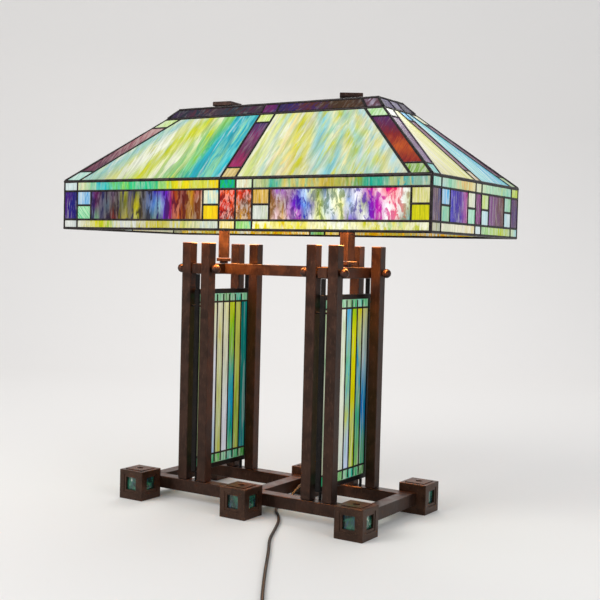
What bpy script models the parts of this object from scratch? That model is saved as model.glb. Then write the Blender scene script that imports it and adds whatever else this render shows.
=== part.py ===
"""Stained glass table lamp: a bronze base of square tube with six footed corners and two leaded panels,
and a long hipped shade that lifts off two stems. Metres, +Z up, the table top at z = 0 and the origin
under the middle of the base. X runs along the lamp, and the front is at -Y."""

import math

import bmesh
import bpy
from mathutils import Vector

# ---- driving dimensions -------------------------------------------------------------------------
GAP = 0.0003  # between pieces that touch
TUBE = 0.016  # square tube of the posts, crossbars and stems
WALL = 0.0015  # thickness of every tube's wall
EDGE = 0.0007  # rounding of the square tube's edges

OVER = 0.010  # how far a cutter runs past the metal it opens

FOOT = 0.044  # a foot in plan
FOOT_HIGH = 0.045
FOOT_WALL = 0.004
FOOT_LID = 0.006  # thickness of its top, with the raised pad
PAD = 0.031  # the raised pad on a foot, in plan
PAD_HIGH = 0.001
DIMPLE_R = 0.005
DIMPLE_DEEP = 0.002
BEZEL_DEEP = 0.0008
FOOT_GLASS_WALL = 0.0025
FOOT_GLASS_LOW = 0.006
FOOT_GLASS_GAP = 0.0005
FOOT_PITCH = 0.1895  # from foot to foot along X
WINDOW = 0.019  # a foot's glass window
WINDOW_BEZEL = 0.027
WINDOW_Z = 0.024

RAIL_WIDE = 0.020
RAIL_LOW = 0.014
RAIL_TOP = 0.032
RAIL_REACH = 0.196  # the front and back rails' ends
RAIL_Y = 0.062  # the middle of the front and back rails, and of the posts on them

POST_X = (0.0925, 0.128)  # the inner and outer post of each pair
POST_TOP = 0.391
CROSSBAR_X = (POST_X[0] + POST_X[1]) / 2
CROSSBAR_LOW = 0.344
CROSSBAR_REACH = 0.068
BOLT_Z = CROSSBAR_LOW + TUBE / 2
BOLT_R = 0.003
BALL_R = 0.00675

STEM_X = 0.110
STEM_YAW = {"left": math.radians(33), "right": math.radians(-14)}
FLANGE = 0.021
STEM_LOW = 0.3688
STEM_TOP = 0.5933
NIPPLE_R = 0.005
NIPPLE_TOP = 0.6035
CAP_YAW = {"left": math.radians(6), "right": math.radians(30)}
CAP = 0.033
CAP_UNDER = 0.026
CAP_LOW = 0.601
CAP_TOP = 0.6075

# The shade's outer half length and half width at each height.
SHADE_RIM = (0.310, 0.144, 0.4065)
SHADE_EAVES = (0.310, 0.144, 0.4796)
SHADE_SHOULDER = (0.1892, 0.0487, 0.5797)
SHADE_TOP = (0.1745, 0.03705, 0.5953)
GLASS = 0.003

PANEL_Y = 0.066  # half width of a panel's frame
PANEL_LOW = 0.045
PANEL_TOP = 0.321
PANEL_BAR = 0.007  # the frame's top and bottom bars
PANEL_SIDE = 0.0035
PANEL_THICK = 0.008
UPRIGHT_STEP = 0.0008  # how much slimmer the upright is above the frame's top bar
GROOVE = 0.0008

SOCKET_Z = 0.470
SOCKET_R = 0.012
SOCKET_REACH = 0.050
BULB_BORE_R = 0.007
BULB_R = 0.023
BULB_MIDDLE = 0.080  # from the stem to the middle of a bulb's globe

CORD_R = 0.0021
CORD_EXIT = Vector((0.0156, 0.0472, 0.022))
COIL_MIDDLE = Vector((0.3088, -0.4474))
COIL_R = 11 * CORD_R  # to the middle of the turns, which are 11 cords across
COIL_HALF = 3 * CORD_R  # three turns side by side and three high
COIL_LOW = 0.0014

SIDES = {"left": -1, "right": 1}
ENDS = {"front": -1, "back": 1}


# ---- scene, collections and materials -----------------------------------------------------------
def clear_scene():
    for obj in list(bpy.data.objects):
        bpy.data.objects.remove(obj, do_unlink=True)


def new_collection(name):
    found = bpy.data.collections.new(name)
    bpy.context.scene.collection.children.link(found)
    return found


def new_material(name, color, metallic=0.0, roughness=0.5, transmission=0.0):
    made = bpy.data.materials.new(name)
    made.use_nodes = True
    shader = made.node_tree.nodes["Principled BSDF"]
    shader.inputs["Base Color"].default_value = (*color, 1.0)
    shader.inputs["Metallic"].default_value = metallic
    shader.inputs["Roughness"].default_value = roughness
    shader.inputs["Transmission Weight"].default_value = transmission
    return made


clear_scene()
LAMP = new_collection("stained_glass_table_lamp")
CUTTERS = new_collection("cutters")
BRONZE = new_material("bronze_patina", (0.085, 0.048, 0.032), 0.85, 0.42)
BLACK_METAL = new_material("blackened_metal", (0.012, 0.011, 0.012), 0.7, 0.45)
SHADE_GLASS = new_material("art_glass", (0.62, 0.72, 0.50), 0.0, 0.25, 0.3)
PANEL_GLASS = new_material("panel_glass", (0.66, 0.76, 0.62), 0.0, 0.25, 0.3)
FOOT_GLASS = new_material("foot_glass", (0.10, 0.32, 0.20), 0.0, 0.2, 0.3)
BRASS = new_material("socket_brass", (0.55, 0.38, 0.14), 0.9, 0.35)
BULB_GLASS = new_material("bulb_glass", (0.95, 0.93, 0.86), 0.0, 0.2, 0.2)
CORD_BLACK = new_material("cord_black", (0.010, 0.010, 0.010), 0.0, 0.5)
PLUG_BLACK = new_material("plug_black", (0.014, 0.014, 0.014), 0.0, 0.4)


# ---- building blocks ----------------------------------------------------------------------------
def link(name, mesh, mat, place=(0, 0, 0), turn=None):
    """A new object in the lamp's collection, or a cutter where mat is None."""
    obj = bpy.data.objects.new(name, mesh)
    obj.location = place
    if turn:
        obj.rotation_euler = turn
    if mat:
        LAMP.objects.link(obj)
        mesh.materials.append(mat)
    else:
        CUTTERS.objects.link(obj)
        obj.hide_render = True
        obj.display_type = "WIRE"
    return obj


def box(name, low, high, mat, round_by=0.0, place=(0, 0, 0), yaw=0.0):
    """A box between two corners, both relative to its place, turned by yaw about it."""
    low, high = Vector(low), Vector(high)
    mesh = bpy.data.meshes.new(name)
    bm = bmesh.new()
    bmesh.ops.create_cube(bm, size=1.0)
    bmesh.ops.scale(bm, vec=high - low, verts=bm.verts)
    bmesh.ops.translate(bm, vec=(high + low) / 2, verts=bm.verts)
    bm.to_mesh(mesh)
    bm.free()
    obj = link(name, mesh, mat, place, (0, 0, yaw))
    if round_by:
        bevel = obj.modifiers.new("rounded_edges", "BEVEL")
        bevel.width = round_by
        bevel.segments = 1
    return obj


def rod(name, start, end, radius, mat=None, sides=16):
    """A plain cylinder from one point to another."""
    start, end = Vector(start), Vector(end)
    mesh = bpy.data.meshes.new(name)
    bm = bmesh.new()
    length = (end - start).length
    bmesh.ops.create_cone(
        bm, cap_ends=True, segments=sides, radius1=radius, radius2=radius, depth=length
    )
    bm.to_mesh(mesh)
    bm.free()
    mesh.shade_smooth()
    mesh.set_sharp_from_angle(angle=math.radians(40))
    obj = link(name, mesh, mat, (start + end) / 2)
    obj.rotation_mode = "QUATERNION"
    obj.rotation_quaternion = (end - start).to_track_quat("Z", "Y")
    return obj


def cut(obj, tool, operation="DIFFERENCE"):
    boolean = obj.modifiers.new(f"{operation.lower()}_{tool.name}", "BOOLEAN")
    boolean.operation = operation
    boolean.solver = "EXACT"
    boolean.object = tool
    return obj


def join(obj, tool):
    return cut(obj, tool, "UNION")


def turned(name, profile, place, axis, mat, steps=24):
    """A turned shape. profile is (distance along the axis, radius), from its far end back to its near end."""
    mesh = bpy.data.meshes.new(name)
    points = [(radius, 0.0, along) for along, radius in profile]
    mesh.from_pydata(points, [(i, i + 1) for i in range(len(points) - 1)], [])
    obj = link(name, mesh, mat, place)
    obj.rotation_mode = "QUATERNION"
    obj.rotation_quaternion = Vector(axis).to_track_quat("Z", "Y")
    screw = obj.modifiers.new("turn", "SCREW")
    screw.steps = screw.render_steps = steps
    screw.use_merge_vertices = True
    screw.merge_threshold = 0.00001
    screw.use_smooth_shade = True
    return obj


def arc(middle, radius, start_deg, end_deg, count):
    """Points of a circle about a place on the axis, as (along, radius) pairs, from start to end."""
    found = []
    for i in range(count + 1):
        angle = math.radians(start_deg + (end_deg - start_deg) * i / count)
        found.append((middle + radius * math.cos(angle), max(0.0, radius * math.sin(angle))))
    return found


# ---- base: feet, rails, posts, crossbars --------------------------------------------------------
def make_foot(name, x, row):
    """A hollow bronze foot, open below, with three glazed windows, and the glass tube inside it."""
    middle_y = row * (RAIL_Y + RAIL_WIDE / 2 + GAP + FOOT / 2)
    half = FOOT / 2
    place = (x, middle_y, 0)
    roof = FOOT_HIGH - FOOT_LID
    foot = box(name, (-half, -half, 0), (half, half, FOOT_HIGH - PAD_HIGH), BRONZE, EDGE, place)
    pad = PAD / 2
    join(foot, box(f"{name}_pad", (-pad, -pad, roof + PAD_HIGH), (pad, pad, FOOT_HIGH), None, 0, place))
    hollow = half - FOOT_WALL
    cut(foot, box(f"{name}_hollow", (-hollow, -hollow, -OVER), (hollow, hollow, roof), None, 0, place))
    dimple = (x, middle_y, FOOT_HIGH - DIMPLE_DEEP), (x, middle_y, FOOT_HIGH + OVER)
    cut(foot, rod(f"{name}_dimple", *dimple, DIMPLE_R))
    low, high = WINDOW_Z - WINDOW / 2, WINDOW_Z + WINDOW / 2
    around = (WINDOW_BEZEL - WINDOW) / 2
    far = half + OVER
    near = half - BEZEL_DEEP
    open_w = WINDOW / 2
    wide = WINDOW_BEZEL / 2
    across = (-far, -open_w, low), (far, open_w, high)
    cut(foot, box(f"{name}_window_x", *across, None, 0, place))
    for side in (-1, 1):
        ends = sorted((side * near, side * far))
        frame = (ends[0], -wide, low - around), (ends[1], wide, high + around)
        cut(foot, box(f"{name}_bezel_x{side}", *frame, None, 0, place))
    ends = sorted((row * 0.010, row * far))
    cut(foot, box(f"{name}_window_y", (-open_w, ends[0], low), (open_w, ends[1], high), None, 0, place))
    ends = sorted((row * near, row * far))
    frame = (-wide, ends[0], low - around), (wide, ends[1], high + around)
    cut(foot, box(f"{name}_bezel_y", *frame, None, 0, place))

    outer = hollow - GAP
    inner = outer - FOOT_GLASS_WALL
    ends = (-outer, -outer, FOOT_GLASS_LOW), (outer, outer, roof - FOOT_GLASS_GAP)
    glass = box(f"{name}_glass", *ends, FOOT_GLASS, 0, place)
    cut(glass, box(f"{name}_glass_hollow", (-inner, -inner, 0), (inner, inner, FOOT_HIGH), None, 0, place))


def make_feet():
    columns = {"left": -FOOT_PITCH, "middle": 0.0, "right": FOOT_PITCH}
    for end, row in ENDS.items():
        for column, x in columns.items():
            make_foot(f"{end}_{column}_foot", x, row)


def make_rails():
    half = RAIL_WIDE / 2
    inner = half - WALL
    low, high = RAIL_LOW + WALL, RAIL_TOP - WALL
    for end, row in ENDS.items():
        place = (0, row * RAIL_Y, 0)
        reach = RAIL_REACH
        rail = box(f"{end}_rail", (-reach, -half, RAIL_LOW), (reach, half, RAIL_TOP), BRONZE, EDGE, place)
        hollow = (-reach + WALL, -inner, low), (reach - WALL, inner, high)
        cut(rail, box(f"{end}_rail_hollow", *hollow, None, 0, place))
        if end == "back":
            # The cord's bushing stands on the rail's inner face.
            face = RAIL_Y - half
            outlet = Vector((CORD_EXIT.x, 0, CORD_EXIT.z))
            bushing = outlet + Vector((0, face + 0.0005, 0)), outlet + Vector((0, CORD_EXIT.y + GAP, 0))
            bore = outlet + Vector((0, face + 0.004, 0)), outlet + Vector((0, face - 0.010, 0))
            join(rail, rod("cord_bushing", *bushing, 0.0046))
            cut(rail, rod("cord_bushing_bore", *bore, CORD_R + GAP))
        else:
            cut(rail, rod("front_rail_drain", (0.03, -RAIL_Y, 0), (0.03, -RAIL_Y, 0.020), 0.003))
    reach = RAIL_Y - half - GAP
    places = {"left": -RAIL_REACH + half, "middle": 0.0, "right": RAIL_REACH - half}
    for name, x in places.items():
        ends = (-half, -reach, RAIL_LOW), (half, reach, RAIL_TOP)
        rail = box(f"{name}_rail", *ends, BRONZE, 0, (x, 0, 0))
        hollow = (-inner, -reach - OVER, low), (inner, reach + OVER, high)
        cut(rail, box(f"{name}_rail_hollow", *hollow, None, 0, (x, 0, 0)))


def make_posts():
    half = TUBE / 2
    inner = half - WALL
    low = RAIL_TOP + GAP
    for side, sign in SIDES.items():
        for end, row in ENDS.items():
            for which, x in zip(("inner", "outer"), POST_X, strict=True):
                name = f"{end}_{side}_{which}_post"
                place = (sign * x, row * RAIL_Y, 0)
                post = box(name, (-half, -half, low), (half, half, POST_TOP), BRONZE, EDGE, place)
                hollow = (-inner, -inner, low - OVER), (inner, inner, POST_TOP - WALL)
                cut(post, box(f"{name}_hollow", *hollow, None, 0, place))
                hole = (sign * x - TUBE, row * RAIL_Y, BOLT_Z), (sign * x + TUBE, row * RAIL_Y, BOLT_Z)
                cut(post, rod(f"{name}_bolt_hole", *hole, BOLT_R + GAP))


def make_crossbars():
    half = TUBE / 2
    inner = half - WALL
    top = CROSSBAR_LOW + TUBE
    between_posts = (POST_X[1] - POST_X[0]) / 2 - half - GAP
    for side, sign in SIDES.items():
        name = f"{side}_crossbar"
        x = sign * CROSSBAR_X
        reach = CROSSBAR_REACH
        ends = (-half, -reach, CROSSBAR_LOW), (half, reach, top)
        bar = box(name, *ends, BRONZE, EDGE, (x, 0, 0))
        hollow = (-inner, -reach + WALL, CROSSBAR_LOW + WALL), (inner, reach - WALL, top - WALL)
        cut(bar, box(f"{name}_hollow", *hollow, None, 0, (x, 0, 0)))
        wire = (sign * STEM_X, 0, top - 0.004), (sign * STEM_X, 0, top + 0.004)
        cut(bar, rod(f"{name}_wire_hole", *wire, 0.004))
        for end, row in ENDS.items():
            # A sleeve through the bar, standing proud on both sides, spaces the posts from it.
            y = row * RAIL_Y
            sleeve = (x - between_posts, y, BOLT_Z), (x + between_posts, y, BOLT_Z)
            bore = (x - TUBE, y, BOLT_Z), (x + TUBE, y, BOLT_Z)
            join(bar, rod(f"{name}_{end}_sleeve", *sleeve, 0.0055))
            cut(bar, rod(f"{name}_{end}_bore", *bore, BOLT_R + GAP))
    reach = CROSSBAR_X - half - GAP
    tie = box("tie_bar", (-reach, -half, CROSSBAR_LOW), (reach, half, top), BRONZE)
    hollow = (-reach - OVER, -inner, CROSSBAR_LOW + WALL), (reach + OVER, inner, top - WALL)
    cut(tie, box("tie_bar_hollow", *hollow, None))


def make_clamp_bolts():
    """Each bolt runs in from an outer post's ball to a ball nut on the inner post."""
    face_out = POST_X[1] + TUBE / 2 + GAP
    face_in = POST_X[0] - TUBE / 2 - GAP
    seat = 0.0059  # from a ball's middle to the flat it seats on
    flat_deg = math.degrees(math.acos(seat / BALL_R))
    for side, sign in SIDES.items():
        for end, row in ENDS.items():
            y = row * RAIL_Y
            middle = face_out + seat
            inner_end = face_in - 0.007
            # Along +X of the lamp on its right half, and along -X on its left.
            ball = arc(middle, BALL_R, 0, 180 - flat_deg, 7)
            profile = [*ball, (face_out, BOLT_R), (inner_end, BOLT_R), (inner_end, 0.0)]
            turned(f"{end}_{side}_clamp_bolt", profile, (0, y, BOLT_Z), (sign, 0, 0), BRONZE, 14)
            middle = face_in - seat
            bore = BOLT_R + 0.0002
            ball = [p for p in arc(middle, BALL_R, flat_deg, 180, 7) if p[1] >= 0]
            bottom = inner_end - 0.001
            profile = [(bottom, 0.0), (bottom, bore), (face_in, bore), *ball]
            turned(f"{end}_{side}_ball_nut", profile, (0, y, BOLT_Z), (sign, 0, 0), BRONZE, 14)


# ---- stems, caps and lights ---------------------------------------------------------------------
def make_stems():
    half = TUBE / 2
    inner = half - WALL
    plate = FLANGE / 2
    for side, sign in SIDES.items():
        place = (sign * STEM_X, 0, 0)
        yaw = STEM_YAW[side]
        name = f"{side}_stem"
        stem = box(name, (-half, -half, STEM_LOW), (half, half, STEM_TOP), BRONZE, EDGE, place, yaw)
        hollow = (-inner, -inner, STEM_LOW - OVER), (inner, inner, STEM_TOP - 0.004)
        cut(stem, box(f"{name}_hollow", *hollow, None, 0, place, yaw))
        nipple = (*place[:2], STEM_TOP - 0.002), (*place[:2], NIPPLE_TOP)
        join(stem, rod(f"{name}_nipple", *nipple, NIPPLE_R))

        name = f"{side}_stem_flange"
        top = STEM_LOW - GAP
        flange = box(name, (-plate, -plate, top - 0.005), (plate, plate, top), BRONZE, 0.0005, place, yaw)
        neck = (*place[:2], CROSSBAR_LOW + TUBE + GAP), (*place[:2], top - 0.004)
        join(flange, rod(f"{name}_neck", *neck, 0.0065))
        bore = (*place[:2], 0.35), (*place[:2], 0.38)
        cut(flange, rod(f"{name}_bore", *bore, 0.004))


def make_caps():
    for side, sign in SIDES.items():
        place = (sign * STEM_X, 0, 0)
        yaw = CAP_YAW[side]
        name = f"{side}_cap"
        half, under = CAP / 2, CAP_UNDER / 2
        cap = box(name, (-half, -half, CAP_LOW), (half, half, CAP_TOP), BRONZE, EDGE, place, yaw)
        low = SHADE_TOP[2] + GAP
        spacer = (-under, -under, low), (under, under, CAP_LOW + 0.001)
        join(cap, box(f"{name}_spacer", *spacer, None, 0, place, yaw))
        bore = (*place[:2], low - 0.005), (*place[:2], NIPPLE_TOP + 0.0005)
        cut(cap, rod(f"{name}_bore", *bore, NIPPLE_R + GAP))


def make_lights():
    half = TUBE / 2 + GAP
    for side, sign in SIDES.items():
        x = sign * STEM_X
        place = Vector((x, 0, SOCKET_Z))
        along = Vector((1, 0, 0))
        name = f"{side}_socket_cluster"
        low, high = (x, 0, SOCKET_Z - 0.013), (x, 0, SOCKET_Z + 0.013)
        hub = rod(name, low, high, 0.015, BRASS, 24)
        sockets = place - along * SOCKET_REACH, place + along * SOCKET_REACH
        join(hub, rod(f"{name}_sockets", *sockets, SOCKET_R, None, 24))
        boss = place, place + Vector((0, -0.021, 0))
        join(hub, rod(f"{name}_boss", *boss, 0.006))
        hole = (-half, -half, -0.03), (half, half, 0.03)
        cut(hub, box(f"{name}_stem_hole", *hole, None, 0, place, STEM_YAW[side]))
        knob_hole = place + Vector((0, -0.0135, 0)), place + Vector((0, -0.03, 0))
        cut(hub, rod(f"{name}_knob_hole", *knob_hole, 0.0023))

        for where, way in (("left", -1), ("right", 1)):
            axis = along * way
            bore = place + axis * 0.021, place + axis * 0.06
            cut(hub, rod(f"{name}_{where}_bore", *bore, BULB_BORE_R, None, 20))
            globe = arc(BULB_MIDDLE, BULB_R, 0, 157, 9)
            base_r = BULB_BORE_R - 0.0004
            profile = [*globe, (0.054, base_r + 0.001), (0.052, base_r), (0.023, base_r), (0.022, 0.0)]
            turned(f"{side}_stem_{where}_bulb", profile, place, axis, BULB_GLASS, 20)

        grip = [(0.034, 0.0), (0.034, 0.004), (0.033, 0.005), (0.0225, 0.0055), (0.0215, 0.005)]
        profile = [*grip, (0.0215, 0.002), (0.0140, 0.002), (0.0140, 0.0)]
        knob = turned(f"{side}_switch_knob", profile, place, (0, -1, 0), BLACK_METAL, 16)
        for flat in (-1, 1):
            # Two flats make the grip a paddle that fingers can turn.
            ends = sorted((flat * 0.0022, flat * 0.008))
            slab = box(
                f"{side}_knob_flat{flat}",
                (-0.01, -0.04, ends[0]),
                (0.01, -0.0245, ends[1]),
                None,
                0,
                place,
            )
            cut(knob, slab)


# ---- shade and panels ---------------------------------------------------------------------------
def make_shade():
    """The leaded shade is one soldered sheet, open at the rim and at the top, under a metal top plate."""
    levels = (SHADE_RIM, SHADE_EAVES, SHADE_SHOULDER, SHADE_TOP)
    corners = ((-1, -1), (1, -1), (1, 1), (-1, 1))
    bm = bmesh.new()
    rings = [[bm.verts.new((sx * x, sy * y, z)) for sx, sy in corners] for x, y, z in levels]
    for below, above in zip(rings, rings[1:], strict=False):
        for i in range(4):
            j = (i + 1) % 4
            bm.faces.new((below[i], below[j], above[j], above[i]))
    mesh = bpy.data.meshes.new("shade_leaded_glass")
    bm.to_mesh(mesh)
    bm.free()
    shade = link("shade_leaded_glass", mesh, SHADE_GLASS)
    shell = shade.modifiers.new("glass_thickness", "SOLIDIFY")
    shell.thickness = GLASS
    shell.offset = -1
    shell.use_even_offset = True

    x, y, z = SHADE_TOP
    in_from_edge = GLASS + 0.0022
    reach = Vector((x - in_from_edge, y - in_from_edge, z))
    low = (-reach.x, -reach.y, STEM_TOP + GAP)
    plate = box("shade_top_plate", low, reach, BRONZE)
    for side, sign in SIDES.items():
        hole = (sign * STEM_X, 0, 0.58), (sign * STEM_X, 0, 0.61)
        cut(plate, rod(f"{side}_plate_hole", *hole, NIPPLE_R + GAP))


def make_panels():
    half = PANEL_THICK / 2
    side_in, bar_in = PANEL_Y - PANEL_SIDE, PANEL_BAR
    groove = GLASS / 2 + GAP
    for side, sign in SIDES.items():
        place = (sign * CROSSBAR_X, 0, 0)
        name = f"{side}_panel_frame"
        ends = (-half, -PANEL_Y, PANEL_LOW), (half, PANEL_Y, PANEL_TOP)
        frame = box(name, *ends, BRONZE, 0.0005, place)
        for end, row in ENDS.items():
            # A peg stands on the rail, and a pin near the top spaces the frame from both posts. The upright
            # runs on up to the crossbar, which keeps the frame on its pegs.
            x, y = place[0], row * 0.058
            peg = (x, y, RAIL_TOP + GAP), (x, y, PANEL_LOW + 0.001)
            join(frame, rod(f"{name}_{end}_peg", *peg, 0.0022, None, 16))
            reach = (POST_X[1] - POST_X[0]) / 2 - TUBE / 2 - GAP
            y = row * (PANEL_Y - PANEL_SIDE / 2)
            pin = (x - reach, y, 0.296), (x + reach, y, 0.296)
            join(frame, rod(f"{name}_{end}_pin", *pin, 0.0016, None, 16))
            near, far = sorted((row * side_in, row * (PANEL_Y - UPRIGHT_STEP)))
            low = (UPRIGHT_STEP - half, near, PANEL_TOP - bar_in / 2)
            high = (half - UPRIGHT_STEP, far, CROSSBAR_LOW - GAP)
            join(frame, box(f"{name}_{end}_upright", low, high, None, 0, place))
        opening = (-OVER, -side_in, PANEL_LOW + bar_in), (OVER, side_in, PANEL_TOP - bar_in)
        cut(frame, box(f"{name}_opening", *opening, None, 0, place))
        deep = Vector((0, GROOVE, GROOVE))
        low = Vector((-groove, -side_in, PANEL_LOW + bar_in)) - deep
        high = Vector((groove, side_in, PANEL_TOP - bar_in)) + deep
        cut(frame, box(f"{name}_groove", low, high, None, 0, place))
        thin = Vector((GAP, GAP, GAP))
        box(f"{side}_panel_glass", low + thin, high - thin, PANEL_GLASS, 0, place)


# ---- cord ---------------------------------------------------------------------------------------
# The route's own points, from the bushing across the table to the coil.
CORD_ROUTE = (
    (0.0156, 0.0472, 0.0220),
    (0.0156, 0.0380, 0.0212),
    (0.0155, 0.0240, 0.0158),
    (0.0150, 0.0080, 0.0076),
    (0.0148, -0.0080, 0.0030),
    (0.0180, -0.0270, 0.0023),
    (0.0290, -0.0460, 0.0023),
    (0.0480, -0.0690, 0.0023),
    (0.0660, -0.0960, 0.0023),
    (0.0830, -0.1290, 0.0023),
    (0.1080, -0.1790, 0.0023),
    (0.1400, -0.2300, 0.0023),
    (0.1880, -0.3080, 0.0023),
    (0.2300, -0.3740, 0.0023),
    (0.2560, -0.4120, 0.0023),
    (0.2776, -0.4431, 0.0023),
)
CORD_POINTS = 72


def smooth_route(points, count):
    """Evenly spread points of a Catmull-Rom curve through the route's own points."""
    known = [Vector(p) for p in points]
    known = [2 * known[0] - known[1], *known, 2 * known[-1] - known[-2]]
    fine = []
    for a, b, c, d in zip(known, known[1:], known[2:], known[3:], strict=False):
        for i in range(20):
            t = i / 20
            fine.append(
                0.5 * (2 * b + (c - a) * t + (2 * a - 5 * b + 4 * c - d) * t**2
                       + (3 * b - a - 3 * c + d) * t**3)
            )
    fine.append(known[-2])
    along = [0.0]
    for a, b in zip(fine, fine[1:], strict=False):
        along.append(along[-1] + (b - a).length)
    spread, k = [], 0
    for i in range(count):
        at = along[-1] * i / (count - 1)
        while k < len(fine) - 2 and along[k + 1] < at:
            k += 1
        share = (at - along[k]) / (along[k + 1] - along[k])
        spread.append(fine[k].lerp(fine[k + 1], min(1.0, share)))
    return spread


def make_cord():
    curve = bpy.data.curves.new("cord", "CURVE")
    curve.dimensions = "3D"
    curve.bevel_depth = CORD_R
    curve.bevel_resolution = 2
    curve.use_fill_caps = True
    spline = curve.splines.new("POLY")
    points = smooth_route(CORD_ROUTE, CORD_POINTS)
    spline.points.add(len(points) - 1)
    for point, at in zip(spline.points, points, strict=True):
        point.co = (*at, 1.0)
    curve.materials.append(CORD_BLACK)
    LAMP.objects.link(bpy.data.objects.new("cord", curve))


def make_coil():
    """The coil's outer shape is a turned ring of squarish section with rounded corners."""
    half = COIL_HALF
    corner = 0.0025
    middle = COIL_LOW + half
    profile = []
    for start, sx, sz in ((90, 1, 1), (0, 1, -1), (-90, -1, -1), (-180, -1, 1)):
        for i in range(2):
            angle = math.radians(start - 90 * i)
            r = COIL_R + sx * (half - corner) + corner * math.cos(angle)
            z = middle + sz * (half - corner) + corner * math.sin(angle)
            profile.append((z, r))
    profile.append(profile[0])
    turned("cord_coil", profile, (*COIL_MIDDLE, 0), (0, 0, 1), CORD_BLACK, 36)

    # The tie is a flat band round the bundle, at the coil's far side from the lamp.
    room = 0.0010
    thick = 0.0009
    place = (COIL_MIDDLE.x, COIL_MIDDLE.y - COIL_R, 0)
    outer = half + room + thick
    bottom = 0.0001
    top = COIL_LOW + 2 * half + room + thick
    tie = box("cord_tie", (-0.0045, -outer, bottom), (0.0045, outer, top), PLUG_BLACK, 0, place)
    inner = half + room
    hollow = (-OVER, -inner, bottom + thick), (OVER, inner, top - thick)
    cut(tie, box("cord_tie_hollow", *hollow, None, 0, place))


def make_plug():
    x = COIL_MIDDLE.x + COIL_R
    start = COIL_MIDDLE.y + 0.0270
    middle = 0.0077
    place = (x, start, 0)
    body = box("mains_plug", (-0.009, 0.006, 0.0005), (0.009, 0.026, 0.0149), PLUG_BLACK, 0.002, place)
    collar = (x, start, middle), (x, start + 0.008, middle)
    join(body, rod("plug_collar", *collar, 0.0045))
    for side in (-1, 1):
        blade = (side * 0.00635 - 0.0008, 0.025, middle - 0.0031)
        tip = (side * 0.00635 + 0.0008, 0.042, middle + 0.0031)
        join(body, box(f"plug_blade{side}", blade, tip, None, 0, place))


make_feet()
make_rails()
make_posts()
make_crossbars()
make_clamp_bolts()
make_stems()
make_caps()
make_lights()
make_shade()
make_panels()
make_cord()
make_coil()
make_plug()
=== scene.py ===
import math
import random

import bpy
from mathutils import Matrix, Vector, noise


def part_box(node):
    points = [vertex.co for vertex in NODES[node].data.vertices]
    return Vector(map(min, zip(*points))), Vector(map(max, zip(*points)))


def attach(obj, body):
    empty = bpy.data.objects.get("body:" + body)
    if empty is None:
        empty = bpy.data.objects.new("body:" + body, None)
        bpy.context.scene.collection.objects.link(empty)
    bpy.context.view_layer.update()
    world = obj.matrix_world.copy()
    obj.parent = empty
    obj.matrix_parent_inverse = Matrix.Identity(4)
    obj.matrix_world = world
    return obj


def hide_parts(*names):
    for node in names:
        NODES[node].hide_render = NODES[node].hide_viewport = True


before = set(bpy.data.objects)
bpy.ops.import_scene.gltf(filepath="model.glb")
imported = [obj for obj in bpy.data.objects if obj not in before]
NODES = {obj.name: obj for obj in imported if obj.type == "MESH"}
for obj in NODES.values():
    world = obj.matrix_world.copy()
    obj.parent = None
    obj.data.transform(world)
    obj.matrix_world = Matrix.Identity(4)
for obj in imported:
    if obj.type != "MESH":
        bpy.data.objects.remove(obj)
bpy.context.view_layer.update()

UP = Vector((0, 0, 1))


def srgb(red, green, blue):
    """A screen colour, 0 to 255, as linear light."""
    def linear(value):
        value /= 255
        return value / 12.92 if value <= 0.04045 else ((value + 0.055) / 1.055) ** 2.4

    return Vector((linear(red), linear(green), linear(blue)))


# ---- camera --------------------------------------------------------------------------------------
CAMERA_AT = Vector((0.8729, -1.3255, 0.3761))
CAMERA_AZIMUTH, CAMERA_DOWN, CAMERA_ROLL = (math.radians(a) for a in (32.40, 2.43, 1.45))
CAMERA_LENS = 63.63


def make_camera():
    ahead = Vector((
        -math.sin(CAMERA_AZIMUTH) * math.cos(CAMERA_DOWN),
        math.cos(CAMERA_AZIMUTH) * math.cos(CAMERA_DOWN),
        -math.sin(CAMERA_DOWN),
    ))
    level = Vector((math.cos(CAMERA_AZIMUTH), math.sin(CAMERA_AZIMUTH), 0))
    above = level.cross(ahead)
    across = level * math.cos(CAMERA_ROLL) + above * math.sin(CAMERA_ROLL)
    upward = above * math.cos(CAMERA_ROLL) - level * math.sin(CAMERA_ROLL)
    turn = Matrix((across, upward, -ahead)).transposed().to_4x4()
    data = bpy.data.cameras.new("camera")
    data.lens = CAMERA_LENS
    data.sensor_width = 36
    data.clip_start = 0.02
    camera = bpy.data.objects.new("camera", data)
    camera.matrix_world = Matrix.Translation(CAMERA_AT) @ turn
    bpy.context.scene.collection.objects.link(camera)
    bpy.context.scene.camera = camera


make_camera()


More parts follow.
